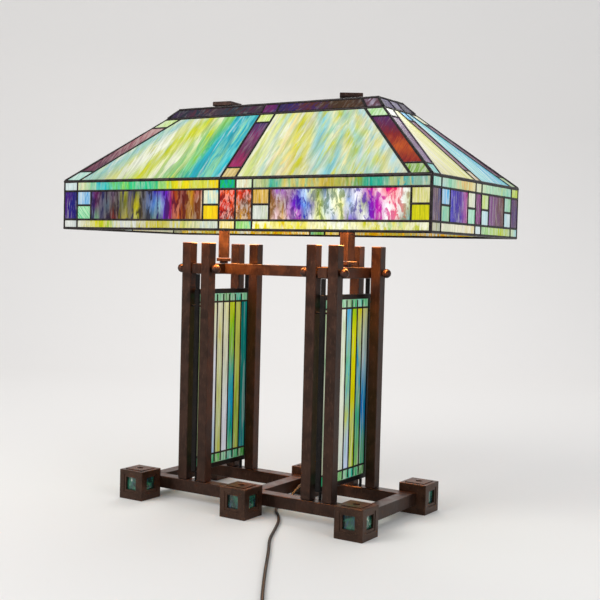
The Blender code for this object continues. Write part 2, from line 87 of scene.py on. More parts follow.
# ---- material nodes ------------------------------------------------------------------------------
class Shader:
    """A Principled material with short ways to add the procedural nodes that feed it."""

    def __init__(self, name, roughness=0.5, metallic=0.0, coat=0.0):
        self.material = bpy.data.materials.new(name)
        self.material.use_nodes = True
        self.nodes = self.material.node_tree.nodes
        self.links = self.material.node_tree.links
        self.shader = self.nodes["Principled BSDF"]
        self.shader.inputs["Roughness"].default_value = roughness
        self.shader.inputs["Metallic"].default_value = metallic
        self.shader.inputs["Coat Weight"].default_value = coat
        self.shader.inputs["Coat Roughness"].default_value = 0.12

    def set(self, socket, value):
        if isinstance(value, bpy.types.NodeSocket):
            self.links.new(value, socket)
        elif hasattr(value, "__len__") and len(socket.default_value) == 4:
            socket.default_value = (*value[:3], 1.0)
        else:
            socket.default_value = value

    def position(self, scale=(1, 1, 1), place=(0, 0, 0)):
        found = self.nodes.new("ShaderNodeNewGeometry")
        return self.scaled(found.outputs["Position"], scale, place)

    def scaled(self, vector, scale=(1, 1, 1), place=(0, 0, 0)):
        mapping = self.nodes.new("ShaderNodeMapping")
        mapping.inputs["Scale"].default_value = scale
        mapping.inputs["Location"].default_value = place
        self.links.new(vector, mapping.inputs["Vector"])
        return mapping.outputs["Vector"]

    def noise(self, vector, scale, detail=3.0, rough=0.55, distortion=0.0):
        found = self.nodes.new("ShaderNodeTexNoise")
        found.inputs["Scale"].default_value = scale
        found.inputs["Detail"].default_value = detail
        found.inputs["Roughness"].default_value = rough
        found.inputs["Distortion"].default_value = distortion
        self.links.new(vector, found.inputs["Vector"])
        return found.outputs["Fac"]

    def band(self, value, low, high, to_low=0.0, to_high=1.0):
        """value from low to high, smoothly turned into to_low to to_high."""
        found = self.nodes.new("ShaderNodeMapRange")
        found.interpolation_type = "SMOOTHSTEP"
        self.links.new(value, found.inputs["Value"])
        for name, number in (
            ("From Min", low), ("From Max", high), ("To Min", to_low), ("To Max", to_high)
        ):
            found.inputs[name].default_value = number
        return found.outputs["Result"]

    def mix(self, share, first, second):
        found = self.nodes.new("ShaderNodeMix")
        found.data_type = "RGBA"
        self.set(found.inputs["Factor"], share)
        self.set(found.inputs[6], first)
        self.set(found.inputs[7], second)
        return found.outputs[2]

    def times(self, first, second):
        found = self.nodes.new("ShaderNodeMath")
        found.operation = "MULTIPLY"
        self.set(found.inputs[0], first)
        self.set(found.inputs[1], second)
        return found.outputs[0]

    def brightness(self, color, factor):
        found = self.nodes.new("ShaderNodeVectorMath")
        found.operation = "SCALE"
        self.set(found.inputs[0], color)
        self.set(found.inputs["Scale"], factor)
        return found.outputs[0]

    def attribute(self, name, output="Color"):
        found = self.nodes.new("ShaderNodeAttribute")
        found.attribute_name = name
        return found.outputs[output]

    def bump(self, height, strength, distance):
        found = self.nodes.new("ShaderNodeBump")
        found.inputs["Strength"].default_value = strength
        found.inputs["Distance"].default_value = distance
        self.links.new(height, found.inputs["Height"])
        before = self.shader.inputs["Normal"].links
        if before:
            self.links.new(before[0].from_socket, found.inputs["Normal"])
        self.links.new(found.outputs["Normal"], self.shader.inputs["Normal"])

    def feed(self, name, value):
        self.set(self.shader.inputs[name], value)


def bronze_material(name, dark, mid, light, streak=(1, 1, 0.25)):
    """Browned bronze: blotches, fine streaks along the length, and a satin sheen that varies."""
    made = Shader(name, metallic=0.72)
    place = made.position()
    blotch = made.noise(place, 38, 5, 0.62, 0.5)
    fine = made.noise(made.position(streak), 420, 3, 0.6)
    color = made.mix(made.band(blotch, 0.36, 0.62), dark, mid)
    color = made.mix(made.band(fine, 0.52, 0.78, 0, 0.55), color, light)
    worn = made.noise(place, 160, 4, 0.7)
    color = made.mix(made.band(worn, 0.64, 0.76, 0, 0.5), color, light)
    made.feed("Base Color", color)
    made.feed("Roughness", made.band(blotch, 0.3, 0.7, 0.30, 0.50))
    made.bump(fine, 0.10, 0.0004)
    made.bump(worn, 0.06, 0.0006)
    return made.material


def lead_material():
    """Dark patinated solder over lead: near black, soft lumps, tiny bright high spots."""
    made = Shader("lead_came", metallic=0.78)
    place = made.position()
    lumps = made.noise(place, 190, 4, 0.6, 0.4)
    grain = made.noise(place, 900, 2, 0.5)
    color = made.mix(made.band(lumps, 0.35, 0.7), srgb(24, 20, 20), srgb(58, 50, 50))
    color = made.mix(made.band(grain, 0.66, 0.78, 0, 0.5), color, srgb(120, 108, 104))
    made.feed("Base Color", color)
    made.feed("Roughness", made.band(lumps, 0.3, 0.7, 0.28, 0.5))
    made.bump(lumps, 0.35, 0.0008)
    return made.material


def glass_material(name, richness):
    """Opalescent streaky glass. The panes carry their own colours, their light and their streaks' flow."""
    made = Shader(name, roughness=0.16, coat=0.05)
    made.shader.inputs["Specular IOR Level"].default_value = 0.25
    flow = made.nodes.new("ShaderNodeUVMap")
    flow.uv_map = "flow"
    flow = flow.outputs["UV"]
    wide = made.noise(flow, 1.0, 4, 0.6, 0.6)
    thin = made.noise(made.scaled(flow, (2.3, 1.5, 1), (7.3, 2.1, 0)), 1.0, 4, 0.65, 0.6)
    wisp = made.noise(made.scaled(flow, (0.9, 0.7, 1), (31.0, 11.0, 0)), 1.0, 4, 0.6, 0.8)
    pool = made.noise(made.scaled(flow, (0.8, 0.9, 1), (3.0, 57.0, 0)), 1.0, 4, 0.62, 0.55)
    color = made.mix(made.band(wide, 0.42, 0.56), made.attribute("tint"), made.attribute("streak"))
    color = made.mix(made.band(thin, 0.52, 0.66, 0, 0.6), color, made.attribute("streak"))
    milk = made.times(made.band(wisp, 0.50, 0.68), made.attribute("milk", "Fac"))
    color = made.mix(milk, color, srgb(244, 243, 234))
    vein = made.times(made.band(pool, 0.48, 0.57), made.attribute("vein", "Alpha"))
    color = made.mix(vein, color, made.attribute("vein"))
    rich = made.nodes.new("ShaderNodeHueSaturation")
    rich.inputs["Saturation"].default_value = richness
    made.set(rich.inputs["Color"], color)
    shaded = made.brightness(rich.outputs["Color"], made.band(thin, 0.30, 0.62, 0.78, 1.08))
    made.feed("Base Color", made.brightness(shaded, 0.50))
    made.feed("Emission Color", made.brightness(shaded, made.attribute("glow", "Fac")))
    made.shader.inputs["Emission Strength"].default_value = 1.0
    made.bump(thin, 0.25, 0.0006)
    made.bump(made.noise(made.position(), 260, 2, 0.5), 0.12, 0.0005)
    return made.material


def plastic_material(name, color, roughness, grain=900):
    made = Shader(name)
    made.shader.inputs["Specular IOR Level"].default_value = 0.35
    place = made.position()
    speck = made.noise(place, grain, 3, 0.6)
    broad = made.noise(place, 60, 3, 0.5)
    made.feed("Base Color", made.mix(made.band(broad, 0.35, 0.7), color, color * 1.7))
    made.feed("Roughness", made.band(speck, 0.3, 0.7, roughness - 0.08, roughness + 0.1))
    made.bump(speck, 0.18, 0.0002)
    return made.material


EVEN = (1, 1, 1)  # patina without a direction
BRONZE = bronze_material("bronze_patina", srgb(46, 30, 22), srgb(62, 41, 31), srgb(94, 68, 54))
FOOT_BRONZE = bronze_material("foot_bronze", srgb(54, 37, 28), srgb(71, 49, 37), srgb(106, 78, 60), EVEN)
CAP_BRONZE = bronze_material("cap_bronze", srgb(44, 28, 24), srgb(74, 50, 42), srgb(120, 92, 76), EVEN)
# The panel frames are coloured near black.
BLACK_FRAME = bronze_material("near_black_frame", srgb(14, 12, 12), srgb(26, 22, 20), srgb(52, 46, 42), EVEN)
LEAD = lead_material()
SHADE_GLASS = glass_material("shade_art_glass", 1.28)
PANEL_GLASS = glass_material("panel_art_glass", 1.18)
CORD_BLACK = plastic_material("cord_jacket", srgb(15, 15, 16), 0.46)
PLUG_BLACK = plastic_material("plug_moulding", srgb(24, 24, 25), 0.38, 500)
KNOB_BLACK = plastic_material("knob_moulding", srgb(22, 20, 20), 0.34, 500)


def socket_material():
    made = Shader("socket_brass", metallic=0.95)
    place = made.position()
    spots = made.noise(place, 90, 4, 0.6)
    made.feed("Base Color", made.mix(made.band(spots, 0.4, 0.65), srgb(176, 134, 66), srgb(112, 78, 38)))
    made.feed("Roughness", made.band(spots, 0.3, 0.7, 0.22, 0.42))
    made.bump(made.noise(place, 500, 2, 0.5), 0.05, 0.0003)
    return made.material


def blade_material():
    made = Shader("plug_blade_brass", metallic=1.0)
    scratch = made.noise(made.position((1, 0.2, 1)), 700, 3, 0.6)
    made.feed("Base Color", made.mix(scratch, srgb(206, 178, 120), srgb(168, 136, 78)))
    made.feed("Roughness", made.band(scratch, 0.3, 0.7, 0.18, 0.35))
    return made.material


def bulb_material():
    """A frosted bulb that is lit: warm white, with faint blotches of two tones."""
    made = Shader("bulb_frosted_glass", roughness=0.3)
    place = made.position()
    frost = made.noise(place, 240, 3, 0.5)
    made.feed("Base Color", made.mix(frost, srgb(250, 240, 220), srgb(255, 250, 238)))
    warm = made.mix(made.band(frost, 0.3, 0.7), srgb(255, 186, 104), srgb(255, 208, 134))
    made.feed("Emission Color", warm)
    made.shader.inputs["Emission Strength"].default_value = 1.5
    made.bump(frost, 0.05, 0.0002)
    return made.material


SOCKET_BRASS = socket_material()
BLADE_BRASS = blade_material()
BULB = bulb_material()


# ---- mesh helpers --------------------------------------------------------------------------------
def add_mesh(name, points, faces, body, material, smooth=False):
    mesh = bpy.data.meshes.new(name)
    mesh.from_pydata([tuple(p) for p in points], [], faces)
    mesh.materials.append(material)
    if smooth:
        mesh.shade_smooth()
        mesh.set_sharp_from_angle(angle=math.radians(38))
    obj = bpy.data.objects.new(name, mesh)
    bpy.context.scene.collection.objects.link(obj)
    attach(obj, body)
    return obj


def lathe(name, profile, place, axis, body, material, steps=40):
    """A closed turned shape. profile is (along the axis, radius), from one end to the other."""
    turn = Vector(axis).to_track_quat("Z", "Y").to_matrix()
    points, faces, rings = [], [], []
    for along, radius in profile:
        if radius < 1e-7:
            rings.append([len(points)])
            points.append(Vector(place) + turn @ Vector((0, 0, along)))
            continue
        rings.append(list(range(len(points), len(points) + steps)))
        for i in range(steps):
            angle = 2 * math.pi * i / steps
            local = Vector((radius * math.cos(angle), radius * math.sin(angle), along))
            points.append(Vector(place) + turn @ local)
    for low, high in zip(rings, rings[1:], strict=False):
        for i in range(steps):
            j = (i + 1) % steps
            corner = [low[i % len(low)], low[j % len(low)], high[j % len(high)], high[i % len(high)]]
            faces.append(list(dict.fromkeys(corner)))
    return add_mesh(name, points, faces, body, material, smooth=True)


def ball_profile(middle, radius, start_deg, end_deg, count):
    """Part of a ball's outline for lathe: angles count from its near end."""
    angles = [math.radians(start_deg + (end_deg - start_deg) * i / count) for i in range(count + 1)]
    return [(middle - radius * math.cos(a), max(0.0, radius * math.sin(a))) for a in angles]


# ---- glass and came ------------------------------------------------------------------------------
SHEET = 0.003  # thickness of the glass
PROUD = 0.0009  # how far a came stands out of the glass
LINE = 0.0031  # a came's width
CELL = 0.006  # the mesh of a pane
HEART = 0.0006  # half the lead between two panes
OUTER = 0.0021  # from a facet's edge to its first pane
CAME_END = 0.0012  # how far a line stops short of the facet's edge
BLOB = 0.6  # a solder blob's radius, as a share of its line's width
STEM_X, SOCKET_Z = 0.110, 0.470  # the stems stand either side of the middle, and the sockets on them
BULB_AHEAD = 0.080  # from a stem's middle to a bulb's
BULB_POWER = 0.0135  # a bulb's light at a distance of 1
RIPPLE = 0.00016  # the waviness of the glass
SWELL_STEP = 0.011  # the distance between the places where a came's width may change
random.seed(7)


class Facet:
    """A flat side of leaded glass. A place on it is its distance across, along a level edge, and its z."""

    def __init__(self, along, out, low, high):
        """low and high are (z, half length, depth): the level edges, seen from outside."""
        self.along, self.out, self.low, self.high = Vector(along), Vector(out), low, high
        rise = self.out * (high[2] - low[2]) + UP * (high[0] - low[0])
        self.slant = rise.length / (high[0] - low[0])
        self.normal = self.along.cross(rise).normalized()

    def share(self, z):
        return (z - self.low[0]) / (self.high[0] - self.low[0])

    def half(self, z):
        return self.low[1] + (self.high[1] - self.low[1]) * self.share(z)

    def point(self, across, z):
        depth = self.low[2] + (self.high[2] - self.low[2]) * self.share(z)
        return self.along * across + self.out * depth + UP * z


def at(value):
    """A border that stands at one distance across."""
    return lambda facet, z: value


def left(inset):
    """A border that runs beside the facet's left edge."""
    return lambda facet, z: -facet.half(z) + inset


def right(inset):
    """A border that runs beside the facet's right edge."""
    return lambda facet, z: facet.half(z) - inset


def bulb_light(point, normal):
    """How strongly the four bulbs light the glass at a point, from inside."""
    found = 0.0
    for stem, power in ((-STEM_X, 0.50), (STEM_X, 1.0)):
        for way in (-BULB_AHEAD, BULB_AHEAD):
            away = point - Vector((stem + way, 0, SOCKET_Z))
            facing = max(0.0, away.normalized().dot(normal))
            found += power * facing * BULB_POWER / away.length_squared
    return found


def stops_at(stops, where):
    """A colour from a list of (place, colour), blended between its neighbours."""
    if where <= stops[0][0]:
        return stops[0][1]
    for (a, first), (b, second) in zip(stops, stops[1:], strict=False):
        if where <= b:
            return first.lerp(second, (where - a) / (b - a))
    return stops[-1][1]


def spread(colors):
    """Colours in a row as stops from 0 to 1, or several rows of them, from the top down."""
    if isinstance(colors[0][0], tuple):
        return [spread(row)[0] for row in colors]
    return [[(i / max(1, len(colors) - 1), srgb(*c)) for i, c in enumerate(colors)]]


def rows_at(rows, where, up):
    """The colour at a place across and a share of the height, from rows of stops."""
    down = max(0.0, min(1.0, 1 - up)) * (len(rows) - 1)
    row = min(int(down), len(rows) - 1)
    after = min(row + 1, len(rows) - 1)
    return stops_at(rows[row], where).lerp(stops_at(rows[after], where), down - row)


def lighter(rows, share):
    return [[(p, c.lerp(srgb(255, 255, 250), share)) for p, c in row] for row in rows]


def ring_faces(first, rings, size):
    """The faces round a stack of closed rings of size points each, stored one after another."""
    return [
        (a + i, a + (i + 1) % size, a + size + (i + 1) % size, a + size + i)
        for a in range(first, first + (rings - 1) * size, size)
        for i in range(size)
    ]


class Glasswork:
    """The panes of one leaded sheet, gathered into one mesh."""

    def __init__(self, light):
        self.points, self.faces, self.flow = [], [], []
        self.tint, self.streak, self.vein, self.glow, self.milk = [], [], [], [], []
        self.light = light

    def pane(self, facet, lo, hi, z0, z1, tint, streak=None, grain=(260, 26), milk=0.3, glow=1.0, tilt=0.0,
             down=False, vein=((0, 0, 0),), veined=0.0, cell=(CELL, CELL), warp=0.05, lift=0.35, outer=OUTER):
        """One piece of glass between two borders, from z0 up to z1.

        tint, streak and vein are colours in a row from left to right, or from top to bottom with down.
        Without a streak of its own, a piece is streaked with its tint made lighter by lift.
        It stays HEART from its borders, and outer from the facet's own edges."""
        tint, vein = spread(tint), spread(vein)
        streak = spread(streak) if streak else lighter(tint, lift)
        on_edge = (
            math.isclose(lo(facet, z0), -facet.half(z0)), math.isclose(hi(facet, z0), facet.half(z0)),
            z0 == facet.low[0], z1 == facet.high[0],
        )
        edge = [outer if found else HEART for found in on_edge]
        z0, z1 = z0 + edge[2], z1 - edge[3]
        width = max(hi(facet, z0) - lo(facet, z0), hi(facet, z1) - lo(facet, z1))
        columns = max(2, round(width / cell[0]))
        rows = max(2, round((z1 - z0) * facet.slant / cell[1]))
        start = len(self.points)
        seed = Vector((random.uniform(0, 90), random.uniform(0, 90)))
        turn_c, turn_s = math.cos(tilt), math.sin(tilt)
        for layer in (0, 1):
            for j in range(rows + 1):
                z = z0 + (z1 - z0) * j / rows
                first, last = lo(facet, z) + edge[0], hi(facet, z) - edge[1]
                for i in range(columns + 1):
                    across = first + (last - first) * i / columns
                    place = facet.point(across, z)
                    inward = SHEET * layer + RIPPLE * abs(noise.noise(place * 90))
                    self.points.append(place - facet.normal * inward)
                    up = (z - z0) * facet.slant
                    flow = Vector((
                        (across * turn_c + up * turn_s) * grain[0],
                        (up * turn_c - across * turn_s) * grain[1],
                    ))
                    self.flow.append(flow + seed)
                    where = 1 - j / rows if down else i / columns
                    across_warp = Vector((across * grain[0] * 1.6, up * grain[1] * 0.8, seed.x))
                    where += warp * (noise.noise(across_warp) + 0.6 * noise.noise(across_warp * 0.35))
                    height = j / rows + 2 * warp * noise.noise(across_warp + UP * 5)
                    self.tint.append(rows_at(tint, where, height))
                    other = where + warp * noise.noise(across_warp + UP * 9)
                    self.streak.append(rows_at(streak, other, height))
                    self.vein.append((*rows_at(vein, where, height), veined))
                    self.milk.append(milk)
                    self.glow.append(glow * self.light(place, facet.normal))
        wide = columns + 1
        layer_size = wide * (rows + 1)

        def corner(i, j):
            return start + j * wide + i

        def rim(a, b):
            """The glass's edge between two neighbouring corners of the front."""
            self.faces.append((a, a + layer_size, b + layer_size, b))

        for j in range(rows):
            for i in range(columns):
                front = [corner(i, j), corner(i + 1, j), corner(i + 1, j + 1), corner(i, j + 1)]
                self.faces.append(front)
                self.faces.append([front[k] + layer_size for k in (0, 3, 2, 1)])
        for i in range(columns):
            rim(corner(i, 0), corner(i + 1, 0))
            rim(corner(i + 1, rows), corner(i, rows))
        for j in range(rows):
            rim(corner(0, j + 1), corner(0, j))
            rim(corner(columns, j), corner(columns, j + 1))

    def finish(self, name, body, slot, material):
        obj = add_mesh(name, self.points, self.faces, body, material, smooth=True)
        mesh = obj.data
        for title, values in (("tint", self.tint), ("streak", self.streak), ("vein", self.vein)):
            layer = mesh.attributes.new(title, "FLOAT_COLOR", "POINT")
            layer.data.foreach_set("color", [x for c in values for x in (*c, 1.0)[:4]])
        for title, values in (("glow", self.glow), ("milk", self.milk)):
            layer = mesh.attributes.new(title, "FLOAT", "POINT")
            layer.data.foreach_set("value", values)
        flow = mesh.uv_layers.new(name="flow")
        found = [x for loop in mesh.loops for x in self.flow[loop.vertex_index]]
        flow.data.foreach_set("uv", found)
        return obj


class Came:
    """The lead lines of one leaded sheet, gathered into one mesh."""

    def __init__(self):
        self.points, self.faces = [], []

    def sweep(self, section, start, end, side, normal, wobble=0.06):
        """A bar of a closed section, (side, normal) pairs, with the small swells of hand soldering."""
        length = (end - start).length
        count = max(1, round(length / SWELL_STEP))
        first = len(self.points)
        size = len(section)
        for k in range(count + 1):
            place = start.lerp(end, k / count)
            swell = 1 + wobble * noise.noise(place * 130) * 2
            for x, y in section:
                self.points.append(place + side * (x * swell) + normal * (y * (swell if y > 0 else 1)))
        self.faces += ring_faces(first, count + 1, size)
        self.faces.append(tuple(range(first + size - 1, first - 1, -1)))
        last = first + count * size
        self.faces.append(tuple(range(last, last + size)))

    def bar(self, start, end, normal, width):
        """A came: a low rounded ridge in front of the glass, and a flatter one behind it."""
        along = (end - start).normalized()
        side = normal.cross(along)
        half, behind = width / 2, -SHEET - PROUD
        section = [
            (half, 0.0), (half * 0.72, PROUD * 0.8), (half * 0.3, PROUD), (-half * 0.3, PROUD),
            (-half * 0.72, PROUD * 0.8), (-half, 0.0), (-half, -SHEET), (-half * 0.6, behind),
            (half * 0.6, behind), (half, -SHEET),
        ]
        self.sweep(section, start, end, side, normal)

    def tube(self, start, end, radius, sides=12):
        """A round bead of solder or wire."""
        along = (end - start).normalized()
        side = along.orthogonal().normalized()
        other = along.cross(side)
        section = [
            (radius * math.cos(2 * math.pi * i / sides), radius * math.sin(2 * math.pi * i / sides))
            for i in range(sides)
        ]
        self.sweep(section, start, end, side, other)

    def blob(self, place, normal, radius, height=0.0013, steps=12):
        """The low mound of solder where lines meet."""
        side = normal.orthogonal().normalized()
        other = normal.cross(side)
        first = len(self.points)
        rings = ((1.0, -0.35), (0.92, 0.35), (0.6, 0.8))
        for share, up in rings:
            for i in range(steps):
                angle = 2 * math.pi * i / steps
                flat = side * math.cos(angle) + other * math.sin(angle)
                self.points.append(place + flat * radius * share + normal * height * up)
        self.faces += ring_faces(first, len(rings), steps)
        top = len(self.points)
        self.points.append(place + normal * height)
        ring = first + (len(rings) - 1) * steps
        for i in range(steps):
            self.faces.append((ring + i, ring + (i + 1) % steps, top))
        self.faces.append(tuple(range(first + steps - 1, first - 1, -1)))

    def line(self, facet, border, z0, z1, width=LINE):
        """A line that rises along a border, with solder where it meets another line."""
        z0 += CAME_END * (z0 == facet.low[0])
        z1 -= CAME_END * (z1 == facet.high[0])
        start, end = facet.point(border(facet, z0), z0), facet.point(border(facet, z1), z1)
        self.bar(start, end, facet.normal, width)
        for place in (start, end):
            if facet.low[0] + 0.002 < place.z < facet.high[0] - 0.002:
                self.blob(place, facet.normal, width * BLOB)

    def level(self, facet, lo, hi, z, width=LINE):
        """A level line between two borders, with solder at an end that meets another line."""
        reach = facet.half(z) - CAME_END
        ends = [max(-reach, min(reach, border(facet, z))) for border in (lo, hi)]
        self.bar(facet.point(ends[0], z), facet.point(ends[1], z), facet.normal, width)
        for across in ends:
            if abs(across) < reach:
                self.blob(facet.point(across, z), facet.normal, width * BLOB)

    def finish(self, name, body, slot):
        return add_mesh(name, self.points, self.faces, body, LEAD, smooth=True)


# ---- the shade -----------------------------------------------------------------------------------
# The shade's four level outlines, from the rim up: their heights, half lengths and half depths.
LEVELS = RIM_Z, EAVES_Z, SHOULDER_Z, TOP_Z = 0.4065, 0.4796, 0.5797, 0.5953
HALF_LONG = (0.310, 0.310, 0.1892, 0.1745)
HALF_DEEP = (0.144, 0.144, 0.0487, 0.03705)
# The walls' rows of panes: narrow ones at the foot and the head, and a tall one, whole or in halves.
LOW_ROW, MIDDLE_ROW, HIGH_ROW = 0.4215, 0.4430, 0.4644
LOW, BODY, HIGH = (RIM_Z, LOW_ROW), (LOW_ROW, HIGH_ROW), (HIGH_ROW, EAVES_Z)
LOWER, UPPER = (LOW_ROW, MIDDLE_ROW), (MIDDLE_ROW, HIGH_ROW)
ROOF_LOW_SQUARE, ROOF_HIGH_SQUARE = 0.4950, 0.5650
ROOF_LINE = 0.0038  # the width of the cames that rise on the roof
BEAD_IN = 0.0013  # how far the beads on the shade's edges stand in from its outline
HIP_BEAD, HIP_GAP = 0.0022, 0.0008  # the sloping beads' radius, and their distance from the level ones
PLATE_BEAD, PLATE_BEAD_OUT, PLATE_BEAD_DOWN = 0.0017, 0.0010, 0.0012  # the solder round the top plate
WALL_END_GLOW = 0.9  # the short walls, against the long ones

SIDES = {
    "front": ((1, 0, 0), (0, -1, 0), HALF_LONG, HALF_DEEP),
    "right": ((0, 1, 0), (1, 0, 0), HALF_DEEP, HALF_LONG),
    "back": ((-1, 0, 0), (0, 1, 0), HALF_LONG, HALF_DEEP),
    "left": ((0, -1, 0), (-1, 0, 0), HALF_DEEP, HALF_LONG),
}

DARK_BAY = [
    [(50, 40, 110), (110, 40, 90), (40, 40, 90), (60, 44, 50), (80, 50, 90), (70, 60, 50), (150, 150, 50),
     (60, 50, 100), (90, 100, 60), (60, 50, 50), (50, 60, 110), (70, 60, 150), (90, 50, 170),
     (120, 70, 200), (140, 30, 70), (160, 90, 50), (120, 40, 50), (220, 180, 110), (180, 100, 90),
     (200, 150, 140)],
    [(60, 50, 140), (90, 40, 80), (50, 50, 80), (60, 80, 100), (80, 60, 50), (50, 50, 50), (110, 110, 60),
     (70, 56, 60), (200, 190, 50), (60, 50, 44), (90, 110, 150), (120, 150, 210), (160, 200, 210),
     (110, 60, 190), (160, 50, 80), (200, 120, 100), (120, 60, 40), (190, 140, 80), (140, 100, 80),
     (230, 210, 180)],
    [(60, 50, 130), (110, 160, 120), (50, 46, 80), (70, 50, 40), (110, 30, 30), (60, 46, 40),
     (170, 160, 60), (90, 84, 50), (200, 200, 110), (70, 54, 44), (70, 80, 70), (90, 120, 110),
     (60, 60, 90), (150, 90, 220), (130, 40, 50), (210, 130, 100), (130, 70, 40), (200, 160, 90),
     (120, 80, 60), (190, 150, 110)],
]
DARK_BAY_VEINS = [
    (24, 18, 70), (60, 20, 50), (24, 20, 44), (44, 26, 24), (60, 60, 110), (30, 26, 24), (40, 34, 30),
    (30, 30, 60), (60, 30, 120), (80, 16, 50), (90, 30, 30), (100, 44, 26), (110, 60, 40),
]
# The right bay's tall pane: its own mottled colours, with the glare of the bulb behind it painted in as
# near-white patches.
GLARE_LIT_BAY = [
    [(110, 80, 50), (150, 100, 180), (150, 104, 176), (140, 110, 120), (60, 50, 150), (210, 230, 250),
     (210, 220, 140), (70, 100, 90), (50, 70, 100), (236, 240, 180), (220, 235, 250), (50, 50, 110),
     (240, 240, 255), (190, 150, 210), (220, 40, 110), (255, 250, 250), (250, 70, 100), (250, 110, 130),
     (250, 250, 250), (220, 225, 200)],
    [(160, 120, 70), (150, 120, 110), (130, 95, 50), (160, 120, 180), (100, 70, 190), (150, 190, 240),
     (70, 50, 150), (220, 225, 130), (180, 205, 235), (240, 245, 220), (236, 230, 140), (180, 200, 240),
     (245, 245, 255), (150, 160, 110), (110, 80, 170), (200, 80, 180), (255, 250, 255), (255, 220, 220),
     (250, 250, 250), (170, 180, 120)],
    [(200, 160, 100), (240, 210, 220), (210, 170, 110), (200, 150, 200), (220, 120, 180), (40, 20, 110),
     (245, 245, 250), (220, 225, 140), (236, 240, 190), (170, 180, 230), (236, 236, 170), (120, 90, 190),
     (60, 30, 130), (255, 255, 255), (110, 80, 180), (180, 60, 150), (250, 250, 250), (250, 250, 246),
     (110, 110, 70), (120, 170, 170)],
]
BRIGHT_BAY_VEINS = [
    (110, 76, 40), (120, 90, 60), (76, 50, 120), (60, 60, 160), (110, 124, 50), (70, 100, 90),
    (120, 136, 80), (60, 50, 140), (110, 70, 170), (190, 50, 150), (230, 90, 120), (130, 140, 90),
]
LEFT_FOOT_ROW = [
    (226, 230, 214), (206, 204, 130), (226, 220, 60), (150, 190, 90), (226, 230, 232), (214, 218, 206),
    (190, 180, 80), (214, 206, 120), (196, 190, 90), (214, 218, 224), (190, 196, 120), (200, 206, 170),
    (206, 220, 220), (206, 210, 160),
]
LEFT_FOOT_STREAKS = [
    (236, 238, 236), (214, 210, 110), (226, 230, 226), (200, 190, 110), (226, 220, 150), (222, 230, 226),
]
RIGHT_FOOT_ROW = [
    (226, 216, 60), (236, 216, 60), (244, 240, 170), (236, 206, 60), (246, 244, 216), (214, 206, 110),
    (246, 246, 226), (222, 220, 110), (236, 236, 190), (226, 226, 150), (250, 250, 232), (206, 206, 90),
    (250, 250, 236), (150, 190, 90), (240, 240, 206), (190, 196, 60), (246, 246, 222),
]
RIGHT_FOOT_STREAKS = [
    (250, 248, 220), (230, 220, 110), (250, 250, 236), (214, 210, 110), (246, 246, 226),
]
# The back wall's foot row in painted lamplight: warm gold that stands in for the bulbs' light on its inner
# face.
LAMPLIT_RIM_ROW = [(250, 206, 90), (246, 170, 60), (250, 214, 110), (240, 180, 70), (250, 220, 130)]


def shade_facet(side, k):
    """A side's flat between the shade's outline k and the next one up."""
    along, out, halves, depths = SIDES[side]
    return Facet(along, out, *((LEVELS[i], halves[i], depths[i]) for i in (k, k + 1)))


def wall_lines(came, f, borders, whole, short, split):
    """A wall's lead: risers on the whole and the short borders, two long levels, and levels in split bays."""
    for k in whole:
        came.line(f, borders[k], RIM_Z, EAVES_Z)
    for k in short:
        came.line(f, borders[k], LOW_ROW, HIGH_ROW)
    for z in (LOW_ROW, HIGH_ROW):
        came.level(f, borders[0], borders[-1], z)
    for lo, hi in split:
        came.level(f, borders[lo], borders[hi], MIDDLE_ROW)


